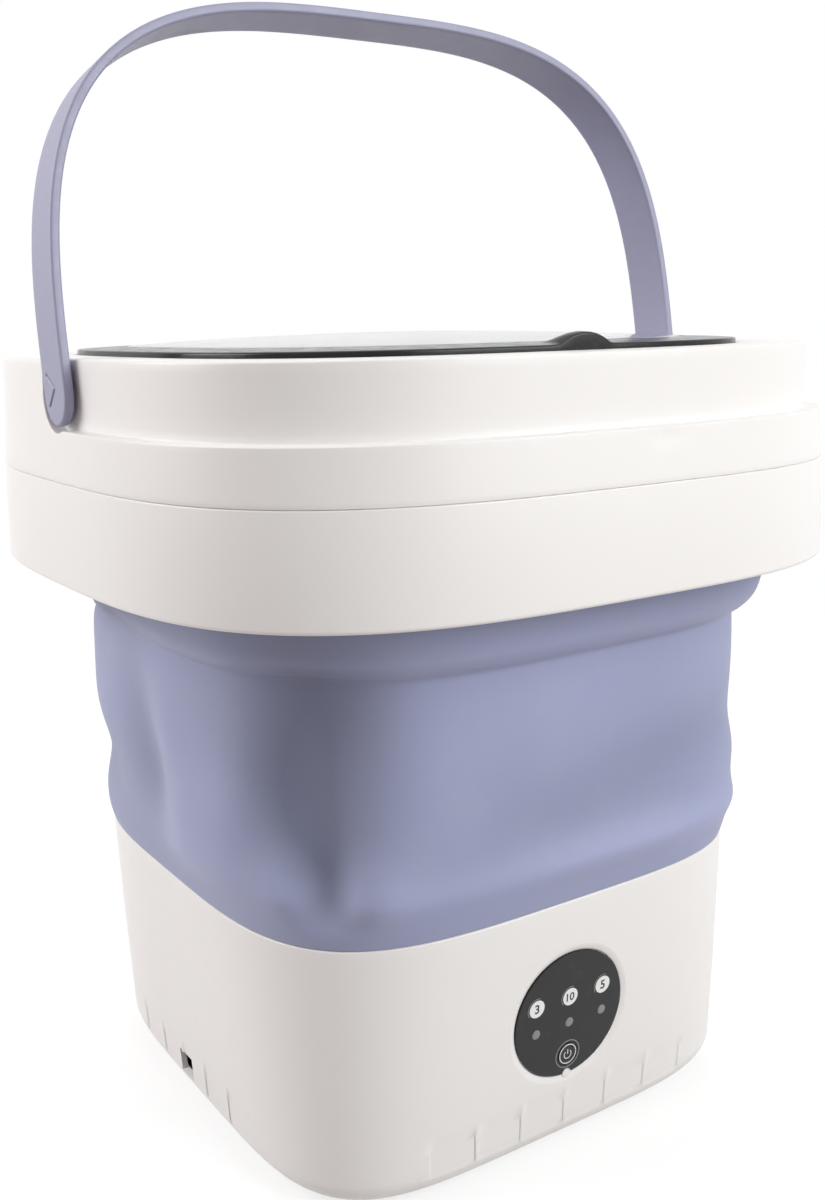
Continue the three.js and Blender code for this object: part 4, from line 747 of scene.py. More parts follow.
def casing_parts(size):
    """The casing: a paired outer and inner skin, with the panel's recess, the drain's hole and the
    power socket's window let into them, and the orienting key at the recess's foot."""
    outer_row, inner_row, normal = casing_rows(size)
    middle = (size.grip_bottom + size.grip_top) / 2
    half, squareness = base_half(size, middle), base_squareness(size, middle)
    angles = casing_angles(size, half, squareness)
    rows, columns = len(outer_row), len(angles)
    grips = grip_depth(size, angles, outer_row[:, 1], half, squareness)
    points = []
    for row, depth in ((outer_row, grips), (inner_row, 0 * grips)):
        width, height = row[:, :1] - depth * normal[:, :1], row[:, 1:] - depth * normal[:, 1:]
        radius = width * reach(angles[None], base_squareness(size, height))
        points.append(round_axis(radius, angles, height).reshape(-1, 3))
    count = rows * columns
    skins = [grid_faces(rows, columns), grid_faces(rows, columns)]
    faces = []

    def opening(side, block, depth):
        """Cuts a block out of as many skins as the depth says and returns the loop round it."""
        heights, places = block
        ends = side_angle(side, np.array(places), half, squareness)
        row_span = [int(np.abs(outer_row[:, 1] - height).argmin()) for height in heights]
        column_span = sorted(int(np.abs(angles - end).argmin()) for end in ends)
        for i in range(depth):
            skins[i] = without_block(skins[i], columns, row_span, column_span)
        return block_loop(columns, row_span, column_span)

    loop = opening(LEFT, SOCKET_WINDOW, 2)
    faces.append(bridge(loop, loop + count))

    loop = opening(BACK, DRAIN_OPENING, 2)
    place = drain_matrix(size)
    ends = []
    for start, skin, inset in ((loop, points[0], 0.0), (loop + count, points[1], size.base_wall)):
        rings, _ = round_patch(size, skin[loop], place, DRAIN_RADIUS, inset)
        ends.append(add_rings(points, faces, start, rings))
    faces.append(bridge(*ends))

    # The panel's recess: a bevel, a short wall and a flat floor
    loop = opening(FRONT, PANEL_OPENING, 1)
    place = panel_matrix(size)
    mouth, floor, depth = size.panel_radius + BEVEL_WIDTH, size.panel_radius, size.panel_recess
    section = [
        (mouth + 0.12, 0.02), (mouth - 0.15, 0.07), (mix(mouth, floor, 0.5), BEVEL_DEPTH / 2),
        (floor + 0.3, BEVEL_DEPTH - 0.08), (floor + 0.1, BEVEL_DEPTH), (floor + 0.02, depth - 0.1),
        (floor - 0.05, depth), (floor / 2, depth), (0.0, depth)]
    rings, angle = round_patch(size, points[0][loop], place, mouth + 0.35)
    rings += [on_patch(place, angle, radius, level) for radius, level in section]
    add_rings(points, faces, loop, rings)

    for row in (0, rows - 1):
        edge = row * columns + np.arange(columns)
        faces.append(bridge(edge, edge + count))
    skin = np.concatenate(points), np.concatenate([skins[0], skins[1] + count] + faces)
    key = turned_cap([(0, -1.4, 0), (1.9, -1.4, 0), (1.9, -0.1, 0.35), (0, -0.1, 0)], 40)
    return [skin, *on_panel(size, facing_out(key, 0, -size.panel_radius))]


# The soft wall

# Bulge: share of the height below the crease, and how much of the wall's bulge is reached there
BULGE = (
    (0, 0), (0.05, 0.28), (0.13, 0.45), (0.24, 0.58), (0.33, 0.78), (0.43, 0.86), (0.56, 0.84),
    (0.7, 0.88), (0.83, 0.96), (0.94, 1), (1, 1))

# Folds: angle round the wall in degrees, height as a share of the height below the crease, spread in
# degrees, rise as a share, and depth as a share of the deepest fold, outwards if below 0
FOLDS = (
    (-136.3, 0.78, 6.6, 0.32, 1.7), (-137.4, 0.4, 4.6, 0.15, 0.8), (-134.5, 0.21, 2.9, 0.13, 1.1),
    (-143, 0.56, 4, 0.16, 0.45), (-141.2, 0.21, 3.8, 0.11, -0.6), (-128.6, 0.2, 4.4, 0.1, -0.7),
    (-122, 0.5, 8, 0.26, -0.4), (180, 0.42, 6, 0.12, 0.6), (175, 0.64, 6, 0.14, 0.5),
    (-166, 0.36, 6, 0.16, -0.5), (-173, 0.68, 5, 0.16, -0.35), (-154, 0.42, 5, 0.14, -0.35),
    (-160, 0.2, 12, 0.08, -0.45), (-153, 0.72, 7, 0.25, 0.25), (141, 0.36, 13, 0.1, 1.05),
    (152, 1.17, 26, 0.085, 2.5), (156, 1.04, 20, 0.03, 0.6), (160, 0.62, 12, 0.14, -0.3),
    (-90, 0.16, 26, 0.07, -0.6), (-60, 0.16, 24, 0.07, -0.5), (-85, 0.42, 26, 0.13, 0.45),
    (-60, 0.52, 14, 0.12, 0.35), (-35, 0.38, 22, 0.08, -0.35), (-98, 0.7, 12, 0.2, -0.3),
    (20, 0.3, 20, 0.14, 0.4), (70, 0.6, 16, 0.22, 0.5), (105, 0.3, 18, 0.1, -0.4),
    (42, 0.25, 5, 0.15, 0.6), (-110, 1.07, 45, 0.03, -0.25))

# The folds fade in between the two starting shares of the height, and out over a fade before the end
FOLD_START, FOLD_END, FOLD_FADE = (0.02, 0.19), 1.33, 0.09

# How far the wall's shoulder goes out and up from the crease to the ring
SHOULDER_OUT, SHOULDER_UP = 12.0, 30.0


def fold_depth(size, angle, share):
    """How far the folds draw the wall in: a sum of bells exp(-((da/spread)^2 + (dh/rise)^2) / 2)."""
    degrees = np.degrees(angle)
    total = 0
    for middle, level, spread, rise, depth in FOLDS:
        away = np.mod(degrees - middle + 180, 360) - 180
        total = total + depth * np.exp(-((away / spread) ** 2 + ((share - level) / rise) ** 2) / 2)
    above = np.clip((FOLD_END - share) / FOLD_FADE, 0, 1)
    return size.soft_fold * total * smoothstep(*FOLD_START, share) * above


def soft_parts(size):
    """The soft wall: an outer curve from foot to crease, a quarter ellipse out to the ring, and the
    same curve inside, closed by a bead at both ends; then the folds draw it in."""
    rise = size.soft_crease - size.soft_foot
    waist = size.soft_half + size.soft_bulge
    body = through(
        [(size.soft_half + size.soft_bulge * out, size.soft_foot + rise * up) for up, out in BULGE], 90)
    turn = quarter_turn(21)
    shoulder = np.stack([
        waist + SHOULDER_OUT * np.sin(turn), size.soft_crease + SHOULDER_UP * (1 - np.cos(turn))], 1)
    line, _ = resampled(np.concatenate([body, shoulder]), 230)
    line = np.concatenate([line[:1], softened(line, 7)[1:-1], line[-1:]])
    top_half = waist + SHOULDER_OUT
    outer = np.concatenate([line, [[top_half, size.soft_top]]])
    thick, bead = size.soft_thick, 3.8
    inner = outer[3:-1:2][::-1] - np.array([thick, 0])
    top_bead = [
        (top_half - thick - bead, size.soft_top), (top_half - thick - bead, size.soft_top - thick),
        (top_half - thick, size.soft_top - thick)]
    foot, foot_half = size.soft_foot, size.soft_half
    foot_bead = [
        (foot_half - thick, foot + thick), (foot_half - thick - bead, foot + thick),
        (foot_half - thick - bead, foot)]
    outline = np.concatenate([outer, top_bead, inner, foot_bead])
    angles = crowded(384)
    half, height = outline[:, :1], outline[:, 1:]
    share = (height - size.soft_foot) / rise
    still = size.soft_foot + 0.07 * rise
    up = np.clip((height - still) / (size.ring_bottom - still), 0, 1)
    fold = fold_depth(size, angles[None], share)
    radius = half * reach(angles[None], mix(TOP_SQUARENESS, RING_SQUARENESS, up)) - fold
    # Share of the deepest fold at each point, which paints shade and light onto the silicone's colour
    hollow = np.clip(fold / (2 * size.soft_fold), -1, 1).ravel()
    return [surface(round_axis(radius, angles, height), closed=True)], hollow


# The upper ring

def skirt_parts(size):
    """Lower half of the upper ring, a closed section carried round."""
    foot, foot_half = size.ring_bottom, size.ring_bottom_half
    seam, seam_half = size.ring_seam, size.ring_seam_half
    top, wall, lap = seam - 0.06, 2.6, seam_half - 2.9
    corners = [
        (foot_half - 2.0, foot, 0.9), (foot_half - 0.05, foot + 0.3, 1.5), (seam_half, top, 0.55),
        (lap, top, 0.1), (lap, seam + 6, 0.4), (lap - 2.2, seam + 6, 0.4), (lap - 2.2, seam - 6, 0.3),
        (seam_half - wall, seam - 12, 0.3), (foot_half - wall, foot + 2, 0.5)]
    return [turned_ring(corners, crowded(360), RING_SQUARENESS, 6)]


def recess_line(size, along, y):
    """Edge of the handle's recess in the unrolled outer face, from the front middle to the back.

    It follows the ledge, the round end of the slot under the pivot, the slot's rear side and then the
    ring's top. Points are (distance along the face, height); corners are softened by a running mean.
    Each point's share of the way and the pivot's place along the face come with them."""
    pivot = np.interp(-size.pivot_forward, y, along)
    gap, many = 2.2, 900
    radius = size.strap_width / 2 + gap
    drop = size.pivot_height - size.ring_ledge
    start = -math.sqrt(radius ** 2 - drop ** 2)
    turn = np.linspace(math.atan2(-drop, start), 0, 60)
    line = np.concatenate([
        np.stack([np.linspace(0, pivot + start, many), np.full(many, size.ring_ledge)], 1),
        np.stack([pivot + radius * np.cos(turn), size.pivot_height + radius * np.sin(turn)], 1),
        np.stack([np.full(50, pivot + radius), np.linspace(size.pivot_height, size.ring_top, 50)], 1),
        np.stack([np.linspace(pivot + radius, along[-1], many), np.full(many, size.ring_top)], 1)])
    line = softened(resampled(line, 2600)[0], 11)
    line[0, 0], line[-1, 0] = 0, along[-1]
    near = 1 + 6 * np.exp(-((line[:, 0] - pivot) / 20) ** 2)
    return resampled(line, 230, near) + (pivot,)


def frame_parts(size):
    """Top frame of the ring. Rows of (distance along, height, half-width) run up the outer wall to the
    recess line, round its edge, in over the step, up the recessed band and over the top to the mouth.

    The right half is made and mirrored, and a small dent is then pressed into its front."""
    face_angle = np.linspace(-np.pi / 2, np.pi / 2, 4001)
    radius = size.ring_ledge_half * reach(face_angle, RING_SQUARENESS)
    x, y = radius * np.cos(face_angle), radius * np.sin(face_angle)
    along = summed(np.hypot(np.diff(x), np.diff(y)))
    line, share, pivot = recess_line(size, along, y)
    tangent = np.gradient(line, axis=0)
    tangent /= np.linalg.norm(tangent, axis=1, keepdims=True)
    into = np.stack([-tangent[:, 1], tangent[:, 0]], 1)
    p, z = line[:, 0], line[:, 1]
    low = share * along[-1]
    # The recess's edge, root and brow are rounded where it is open, which is anywhere but at the top
    open_ = smoothstep(0.0, 2.5, size.ring_top - z)
    edge, root, brow = mix(1.6, 0.5, open_), 0.5 * open_, 0.8
    # Above the slot the rows spread evenly along the top, from a place before the pivot
    on_ledge = z < size.ring_ledge + 0.01
    before = pivot - 16
    start = np.interp(before, p[on_ledge], share[on_ledge])
    last = share[np.argmax(z > size.ring_top - 0.02)]
    spread = mix(before, np.interp(last, share, p), np.clip((share - start) / (last - start), 0, 1))
    top_p = np.where((share > start) & (share < last), spread, p)

    def outer_half(height):
        """Half-width of the outer face: one straight line to the ledge and another above it."""
        below = mix(size.ring_seam_half, size.ring_ledge_half,
                    np.clip((height - size.ring_seam) / (size.ring_ledge - size.ring_seam), 0, 1))
        above = mix(0, size.ring_ledge_half - size.ring_top_half,
                    np.clip((height - size.ring_ledge) / (size.ring_top - size.ring_ledge), 0, 1))
        return below - above

    rows = []

    def add_row(place, height, half):
        """Adds a row from a distance along, a height and a half-width, each a number or one a point."""
        rows.append(np.stack(np.broadcast_arrays(place, height, half)))

    # From the seam up the outer wall and round the recess's edge
    seam = size.ring_seam
    add_row(low, seam, size.ring_seam_half - 0.4)
    add_row(low, seam + 0.12, size.ring_seam_half - 0.12)
    end_p, end_z = p - edge * into[:, 0], z - edge * into[:, 1]
    for part in np.linspace(0, 1, 13):
        height = mix(seam + 0.4, end_z, part)
        add_row(mix(low, end_p, part), height, outer_half(height))
    lip = outer_half(end_z)
    for turn in quarter_turn(5):
        back = edge * (1 - math.sin(turn))
        add_row(p - back * into[:, 0], z - back * into[:, 1], lip - edge * (1 - math.cos(turn)))
    # In over the step, round its root, up the recessed band and round the brow to the top
    for part in (0.35, 0.7, 1.0):
        add_row(p, z, mix(lip - edge, size.recess_half + root, part))
    for turn in quarter_turn(3):
        out = root * (1 - math.cos(turn))
        add_row(p + out * into[:, 0], z + out * into[:, 1], size.recess_half + root * (1 - math.sin(turn)))
    foot_p, foot_z = p + root * into[:, 0], z + root * into[:, 1]
    for part in np.linspace(0, 1, 9)[1:]:
        height = mix(foot_z, size.ring_top - brow * open_, part)
        add_row(mix(foot_p, top_p, part), height, size.recess_half)
    for turn in quarter_turn(4):
        height = size.ring_top - brow * open_ * (1 - math.sin(turn))
        add_row(top_p, height, size.recess_half - brow * (1 - math.cos(turn)))
    # Over the top, down the lid's seat and the mouth to the clamp's flange, and back behind the wall
    seat_half, seat, top, ledge = size.lid_half + 0.3, size.ring_top - 2.3, size.ring_top, size.ring_ledge
    thick, wall, flange, flange_half, clamp_half = 2.8, 2.6, size.soft_top + 0.3, 121.75, 106.8
    inside = rounded([
        (size.recess_half - 2, top, 0), (seat_half, top, 0.5), (seat_half, seat, 0.2),
        (size.mouth_half, seat, 0.8), (size.mouth_half, flange, 0.6), (flange_half, flange, 0.2),
        (flange_half, flange + 2.6, 0.2), (clamp_half, flange + 2.6, 0.2), (clamp_half, seat - thick, 0.2),
        (seat_half + thick, seat - thick, 0.2), (seat_half + thick, top - thick, 0.2),
        (size.recess_half - thick, top - thick, 0.2), (size.recess_half - thick, ledge - thick, 0.2),
        (size.ring_ledge_half - wall, ledge - thick, 0.2), (size.ring_seam_half - wall, seam + 6, 0.2),
        (size.ring_seam_half - wall, seam, 0)], 3, closed=False)
    for i, (half, height) in enumerate(inside):
        add_row(top_p if i < len(inside) - 3 else low, height, half)
    grid = np.array(rows)
    angle = np.interp(grid[:, 0], along, face_angle)
    radius = grid[:, 2] * reach(angle, RING_SQUARENESS)
    right = round_axis(radius, angle, grid[:, 1])
    left = (right * np.array([-1, 1, 1]))[:, -2:0:-1]
    dent_x, dent_z, dent_depth = 9.2, size.ring_ledge - 3.2, 0.45
    dent = np.exp(-((right[..., 0] - dent_x) / 3.2) ** 2 - ((right[..., 2] - dent_z) / 2.2) ** 2)
    outside = (grid[:, 2] > size.recess_half + 2) & (right[..., 1] < 0)
    right[..., 1] += dent_depth * dent * outside
    return [surface(np.concatenate([right, left], 1), closed=True)]


# The carrying handle

# Its lean from upright in degrees, the squareness of its arch and the depth of its grooves
LEAN_BACK, ARCH_SQUARENESS, GROOVE_DEPTH = 8.65, 3.23, 0.55


def handle_matrix(size):
    """The handle's axes: its pivots on X, leaning back from upright by an angle in degrees."""
    place = Matrix.Translation((0, -size.pivot_forward, size.pivot_height))
    return np.array(place @ Matrix.Rotation(-math.radians(LEAN_BACK), 4, "X"))


def strap_section(size):
    """The strap's section as inset from its full width, depth below its outer face and side.

    The side goes from -1 to 1 across the outer face, down one rounded edge, back and up the other."""
    thick, edge = size.strap_thick, size.strap_edge
    turn = quarter_turn(6)
    fall, inset = edge * (1 - np.cos(turn)), edge * (1 - np.sin(turn))
    front, back = 47, 13
    depth = np.concatenate([
        np.zeros(front), fall, [thick / 2], thick - fall[::-1],
        np.full(back, thick), thick - fall, [thick / 2], fall[::-1]])
    short = np.concatenate([
        np.full(front, edge), inset, [0.0], inset[::-1], np.full(back, edge), inset, [0.0], inset[::-1]])
    edge_points = np.ones(2 * len(turn) + 1)
    side = np.concatenate([np.linspace(-1, 1, front), edge_points, np.linspace(1, -1, back), -edge_points])
    return short[None], depth[None], side[None]


def groove_share(station, whole, y):
    """How fully a place on the outer face lies in a groove: two legs whose point is to the front."""
    along = np.where(station < whole / 2, station, whole - station)[:, None] + 0 * y
    point, lift, back, tall = -1.1, 2.0, 5.6, 5.1
    leg = np.array([back - point, tall])
    leg_length = np.linalg.norm(leg)
    unit = leg / leg_length
    a, b = y - point, np.abs(along - lift)
    share = np.clip(a * unit[0] + b * unit[1], 0, leg_length)
    away = np.hypot(a - share * unit[0], b - share * unit[1])
    return 1 - smoothstep(0.25, 0.75, away)


def handle_parts(size):
    """The handle: a flat section with rounded edges carried along a squared arch, with round ends.

    At a distance below a pivot, a layer of the section that is e short of full width is
    sqrt((R - e)^2 - d^2) wide each way, where R is half the strap's width. A groove of two straight
    legs is pressed into the outer face at each end."""
    turn = np.linspace(0, np.pi, 6001)
    power = 2 / ARCH_SQUARENESS
    across, up = np.cos(turn), np.maximum(np.sin(turn), 0)
    arch = np.stack([
        size.arch_half * np.sign(across) * np.abs(across) ** power, size.arch_height * up ** power], 1)
    run = summed(np.linalg.norm(np.diff(arch, axis=0), axis=1))
    whole, wide = run[-1], size.strap_width / 2
    # Stations along the strap, close together round its ends and grooves
    step = 0.4
    tip = -wide * np.cos(np.linspace(0, np.pi / 2, 30))
    tip = np.unique(np.concatenate([tip, np.arange(-6, 0, step)]))
    close = np.arange(step, 10.5, step)
    station = np.concatenate([
        tip, close, np.linspace(11, whole - 11, 220), whole - close[::-1], (whole - tip)[::-1]])
    # Below the pivots the arch goes straight down
    below = np.maximum(np.maximum(-station, station - whole), 0)
    place = np.stack([np.interp(station, run, arch[:, i]) for i in range(2)], 1)
    place[:, 1] -= below
    slope = np.stack([np.interp(station, run, np.gradient(arch[:, i], run)) for i in range(2)], 1)
    slope[station <= 0] = (0, 1)
    slope[station >= whole] = (0, -1)
    slope /= np.linalg.norm(slope, axis=1, keepdims=True)
    outward = np.stack([slope[:, 1], -slope[:, 0]], 1)
    short, depth, side = strap_section(size)
    thick, edge = size.strap_thick, size.strap_edge
    # The round ends: layers that have run out close up within the section's rounded edge
    d = below[:, None]
    width = np.sqrt(np.maximum((wide - short) ** 2 - d ** 2, 0))
    left = np.maximum(wide - d, 0)
    least = np.where(left < edge, edge - np.sqrt(np.maximum(edge ** 2 - (edge - left) ** 2, 0)), 0)
    ended = (wide - short) < d
    depth = np.where(ended, np.clip(depth, least, thick - least), depth + 0 * d)
    y = side * width
    cut = np.where(depth < 0.01, groove_share(station, whole, y), 0)
    depth = depth + GROOVE_DEPTH * cut
    out = place[:, None] - outward[:, None] * depth[..., None]
    points = np.stack([out[..., 0], y, out[..., 1]], -1)
    part = surface(points.swapaxes(0, 1), around=False, closed=True)
    # The second value marks the grooves, where the strap's colour carries painted shade
    return [moved(part, handle_matrix(size))], cut.T.ravel()


# The lid

def lid_parts(size):
    """Lid frame: a closed section carried round, with a finger tab raised at its front edge.

    The tab's height across is a circle's arc, smoothed to nothing at both ends, and it fades away
    behind the edge."""
    bottom, top = size.ring_top - 2.0, size.ring_top + 2.0
    window, skirt = size.lid_half - 16.6, size.mouth_half - 3.4
    corners = [
        (window - 3.4, bottom, 0.3), (skirt - 2.2, bottom, 0.3), (skirt - 2.2, bottom - 9, 0.6),
        (skirt, bottom - 9, 0.6), (skirt, bottom - 4.6, 0.1), (skirt - 0.8, bottom - 4.6, 0.1),
        (skirt - 0.8, bottom, 0.1), (size.lid_half, bottom, 0.25), (size.lid_half, top - 0.2, 0.8),
        (size.lid_half - 7, top + 0.25, 0.6), (window + 0.6, top + 0.6, 0.4), (window, top + 0.6, 0.3),
        (window, top - 1.7, 0.1), (window - 3.4, top - 1.7, 0.3)]
    outline = rounded(corners, 5)
    outline = divided(np.concatenate([outline, outline[:1]]), 1.6)[:-1]
    angles = np.unique(np.round(np.concatenate([crowded(300), near_front(0.2, 90)]), 6))
    points = turned(outline, angles, RING_SQUARENESS)
    # The finger tab
    x, half = points[..., 0], outline[:, :1]
    wide, tall, soft = 10.2, 3.7, 0.9
    radius = (wide ** 2 + tall ** 2) / (2 * tall)
    arc = np.sqrt(np.maximum(radius ** 2 - np.clip(x, -radius + 1, radius - 1) ** 2, 0)) - (radius - tall)
    tab_end = 18
    hump = (arc + np.sqrt(arc ** 2 + soft ** 2)) / 2 * (np.abs(x) < tab_end)
    hump = hump * smoothstep(tab_end, tab_end - 6, np.abs(x)) * (points[..., 1] < 0)
    fade = smoothstep(size.lid_half - 14, size.lid_half - 3.5, half + 0 * x)
    raised = smoothstep(top - 1.4, top - 0.9, outline[:, 1:] + 0 * x)
    points[..., 2] += hump * fade * raised
    return [surface(points, closed=True)]


def window_parts(size):
    """Lid window: a shallow dome z = crown (1 - r^2) of even thickness with a rounded rim."""
    edge = size.lid_half - 16.9
    seat = size.ring_top + 0.6
    crown, thick = 3.4, 2.0
    share = np.linspace(0, 1, 34)
    below = np.stack([edge * share, seat + crown * (1 - share ** 2)], 1)
    above = np.stack([(edge - 0.5) * share[::-1], seat + thick + crown * (1 - share[::-1] ** 2)], 1)
    rim = [(edge, seat + thick - 0.5), (edge - 0.15, seat + thick - 0.15)]
    outline = np.concatenate([below, rim, above])

    def squareness(half):
        """Round in the middle, as square as the ring at the rim."""
        return mix(2.0, RING_SQUARENESS, smoothstep(0.0, edge, half))

    return [surface(turned(outline, crowded(240), squareness))]


def seal_parts(size):
    """Ring seal in the groove of the lid's skirt."""
    inner, top = size.mouth_half - 3.9, size.ring_top - 2.3
    corners = [
        (inner, top - 4, 0.2), (inner + 1.3, top - 4, 0.4), (size.mouth_half - 0.3, top - 2, 0.7),
        (inner + 0.4, top, 0.3), (inner, top, 0.1)]
    return [turned_ring(corners, crowded(240), RING_SQUARENESS)]


# The control panel

# Places in millimetres from the panel's middle: discs and lamps across it, and the height of each row
ROW_PLACES = (-15.0, 0.0, 15.0)
DISC_HEIGHT, LAMP_HEIGHT, BUTTON_HEIGHT = 6.8, -3.3, -16.2
NUMBERS = (("three", "3"), ("ten", "10"), ("five", "5"))


def disc_parts(size):
    """Dark disc of the panel with a hole for the button and a notch at its foot.

    It is a fan of rays from the button's centre: each goes from the hole to the disc's round edge or
    to the notch, whichever comes first."""
    hole, rim, notch_radius = 4.35, size.panel_radius - 0.3, 2.2
    angle = np.unique(np.concatenate([even_angles(200), near_front(0.36, 73)]))
    ray = np.stack([np.cos(angle), np.sin(angle)], 1)
    start = np.array([0, BUTTON_HEIGHT])
    along = ray @ start
    edge = -along + np.sqrt(along ** 2 - (start @ start - rim ** 2))
    away = start - np.array([0, -size.panel_radius])
    beside = ray @ away
    inside = beside ** 2 - (away @ away - notch_radius ** 2)
    notch = np.where((inside > 0) & (beside < 0), -beside - np.sqrt(np.maximum(inside, 0)), np.inf)
    edge = np.minimum(edge, notch)
    face, back = 0.1, 0.9
    rows = [(hole + inset + 0 * angle, depth) for inset, depth in (
        (0, back), (0, face + 0.12), (0.12, face), (0.5, face), (1, face))]
    rows += [(mix(hole + 1, edge - 1, share), face) for share in np.linspace(0.1, 0.9, 9)]
    rows += [(edge - inset, depth) for inset, depth in (
        (1, face), (0.5, face), (0.15, face), (0.03, face + 0.04), (0, face + 0.15), (0, back))]
    distance = np.stack([row[0] for row in rows])
    depth = np.array([row[1] for row in rows])[:, None]
    points = np.stack([
        distance * ray[:, 0], depth + 0 * distance, distance * ray[:, 1] + BUTTON_HEIGHT], -1)
    return on_panel(size, surface(points, closed=True))


def flat_ring(x, z, inner, outer, face, back):
    """A thin flat ring, or a disc if it has no inner radius, between two depths at a place."""
    corners = [(inner, -back, 0), (outer, -back, 0), (outer, -face, 0.01)]
    if inner > 0:
        part = turned_ring(corners + [(inner, -face, 0.01)], even_angles(96), steps=1)
    else:
        part = turned_cap(corners + [(0, -face, 0)], 96, steps=1)
    return facing_out(part, x, z)


def arc_bar(x, z, radius, width, start, end, face, back):
    """A thin flat bar bent to a circle's arc round a place, between two angles in degrees."""
    turn = np.radians(np.linspace(start, end, 40))
    inner, outer = radius - width / 2, radius + width / 2
    section = [(inner, back), (outer, back), (outer, face), (inner, face)]
    tip = [(radius, (face + back) / 2)] * 4
    rows = []
    for angle, loop in zip([turn[0], *turn, turn[-1]], [tip, *[section] * len(turn), tip]):
        rows.append([(x + r * math.cos(angle), depth, z + r * math.sin(angle)) for r, depth in loop])
    return surface(np.array(rows))


def upright_bar(low, high, width, face, back):
    """A thin flat bar on the panel's middle line between two heights."""
    half = width / 2
    section = [(half, back), (-half, back), (-half, face), (half, face)]
    tip = [(0, (face + back) / 2)] * 4
    rows = []
    for height, loop in ((low, tip), (low, section), (high, section), (high, tip)):
        rows.append([(across, depth, height) for across, depth in loop])
    return surface(np.array(rows))


def number_parts(size, text, x):
    """A plain number on its white disc, as a thin flat surface of triangles."""
    tall, bolder, face = (4.7 if len(text) == 1 else 4.3), 0.02, 0.045
    curve = bpy.data.curves.new("digits", "FONT")
    curve.body = text
    curve.size = tall
    curve.align_x, curve.align_y = "CENTER", "CENTER"
    curve.extrude = 0.01
    curve.offset = bolder * tall
    carrier = bpy.data.objects.new("digits", curve)
    bpy.context.collection.objects.link(carrier)
    mesh = bpy.data.meshes.new_from_object(carrier.evaluated_get(bpy.context.evaluated_depsgraph_get()))
    mesh.calc_loop_triangles()
    points = np.empty(len(mesh.vertices) * 3)
    mesh.vertices.foreach_get("co", points)
    triangles = np.empty(len(mesh.loop_triangles) * 3, dtype=np.int32)
    mesh.loop_triangles.foreach_get("vertices", triangles)
    bpy.data.objects.remove(carrier)
    bpy.data.meshes.remove(mesh)
    bpy.data.curves.remove(curve)
    points = points.reshape(-1, 3)
    points = points - (points.max(0) + points.min(0)) / 2
    placed = np.stack([points[:, 0] + x, face - points[:, 2], points[:, 1] + DISC_HEIGHT], 1)
    return on_panel(size, (placed, triangles.reshape(-1, 3)))


def print_parts(size):
    """White print on the panel: a filled disc under each number."""
    discs = [flat_ring(x, DISC_HEIGHT, inner=0, outer=3.3, face=0.06, back=0.12) for x in ROW_PLACES]
    return on_panel(size, *discs)


def faint_parts(size):
    """Grey print on the panel: a thin arc beside each disc and a ring round the button."""
    arcs = [arc_bar(x, DISC_HEIGHT, radius=3.95, width=0.24, start=70, end=215, face=0.07, back=0.12)
            for x in ROW_PLACES]
    ring = flat_ring(0, BUTTON_HEIGHT, inner=5.15, outer=5.5, face=0.06, back=0.12)
    return on_panel(size, *arcs, ring)


def lamp_parts(size, x):
    """An unlit lamp: a low dome on the panel."""
    dome = turned_cap([(0, -0.5, 0), (1.75, -0.5, 0), (1.75, 0.06, 0.15), (0, 0.22, 0)], 48, longest=0.4)
    return on_panel(size, facing_out(dome, x, LAMP_HEIGHT))


def button_parts(size):
    """The push button: a shallow dished cap with a rounded edge."""
    corners = [(0, -3.6, 0), (4.05, -3.6, 0), (4.05, 0.02, 0.3), (3.4, 0.05, 0.2), (0, -0.14, 0)]
    return on_panel(size, facing_out(turned_cap(corners, 96, longest=0.5), 0, BUTTON_HEIGHT))


def button_print_parts(size):
    """Print on the button: a thin ring and a plain on-off sign."""
    line, face, back = 0.3, 0.0, 0.2
    ring = flat_ring(0, BUTTON_HEIGHT, inner=3.5, outer=3.85, face=-0.08, back=0.1)
    arc = arc_bar(0, BUTTON_HEIGHT - 0.2, 1.6, line, start=130, end=410, face=face, back=back)
    bar = upright_bar(BUTTON_HEIGHT, BUTTON_HEIGHT + 1.8, line, face, back)
    return on_panel(size, ring, arc, bar)


# Inside the tub, under the base and at the drain

def tub_parts(size):
    """The tub: a squared bowl with a rim flange and a round well, and the bearing tube under it."""
    rim, wall, floor = size.base_top_half - 11, 2.4, 66.0
    thick, hole = 2.8, 9.7
    floor_half, well, well_floor = rim - 11, 54.6, 62.0
    bowl_half, well_top, edge = floor_half + 8, well + 3.4, floor + 2
    seat, top = size.base_top - 2.7, size.base_top
    flange = base_half(size, seat) - size.base_wall - 0.3
    corners = [
        (hole, well_floor - thick, 0.2), (well_top, well_floor - thick, 1),
        (well_top + wall, floor - thick, 1), (floor_half + 1.2, edge - thick, 3),
        (bowl_half + 1.2, edge + 6.6, 6), (rim + wall, seat, 1), (flange, seat, 0.2), (flange, top, 0.3),
        (rim, top, 1.2), (bowl_half, edge + 9, 8), (floor_half, edge, 6), (well_top, floor, 1.2),
        (well, well_floor, 1.2), (hole, well_floor, 0.2)]

    def squareness(half):
        """Round at the well, as square as the casing's top at the bowl."""
        return mix(2.0, TOP_SQUARENESS, np.clip((half - well_top) / (floor_half - well_top), 0, 1))

    tube = [
        (8.15, 34, 0.2), (22, 34, 0.3), (22, 36.6, 0.5), (12, 36.6, 0.8), (12, 62.5, 0.3),
        (7.55, 62.5, 0.2), (7.55, 58.4, 0.1), (4.3, 58.4, 0.1), (4.3, 55.7, 0.1), (8.15, 55.7, 0.1)]
    return [surface(turned(divided(rounded(corners, 5), 4), crowded(240), squareness), closed=True),
            turned_ring(tube, even_angles(64))]


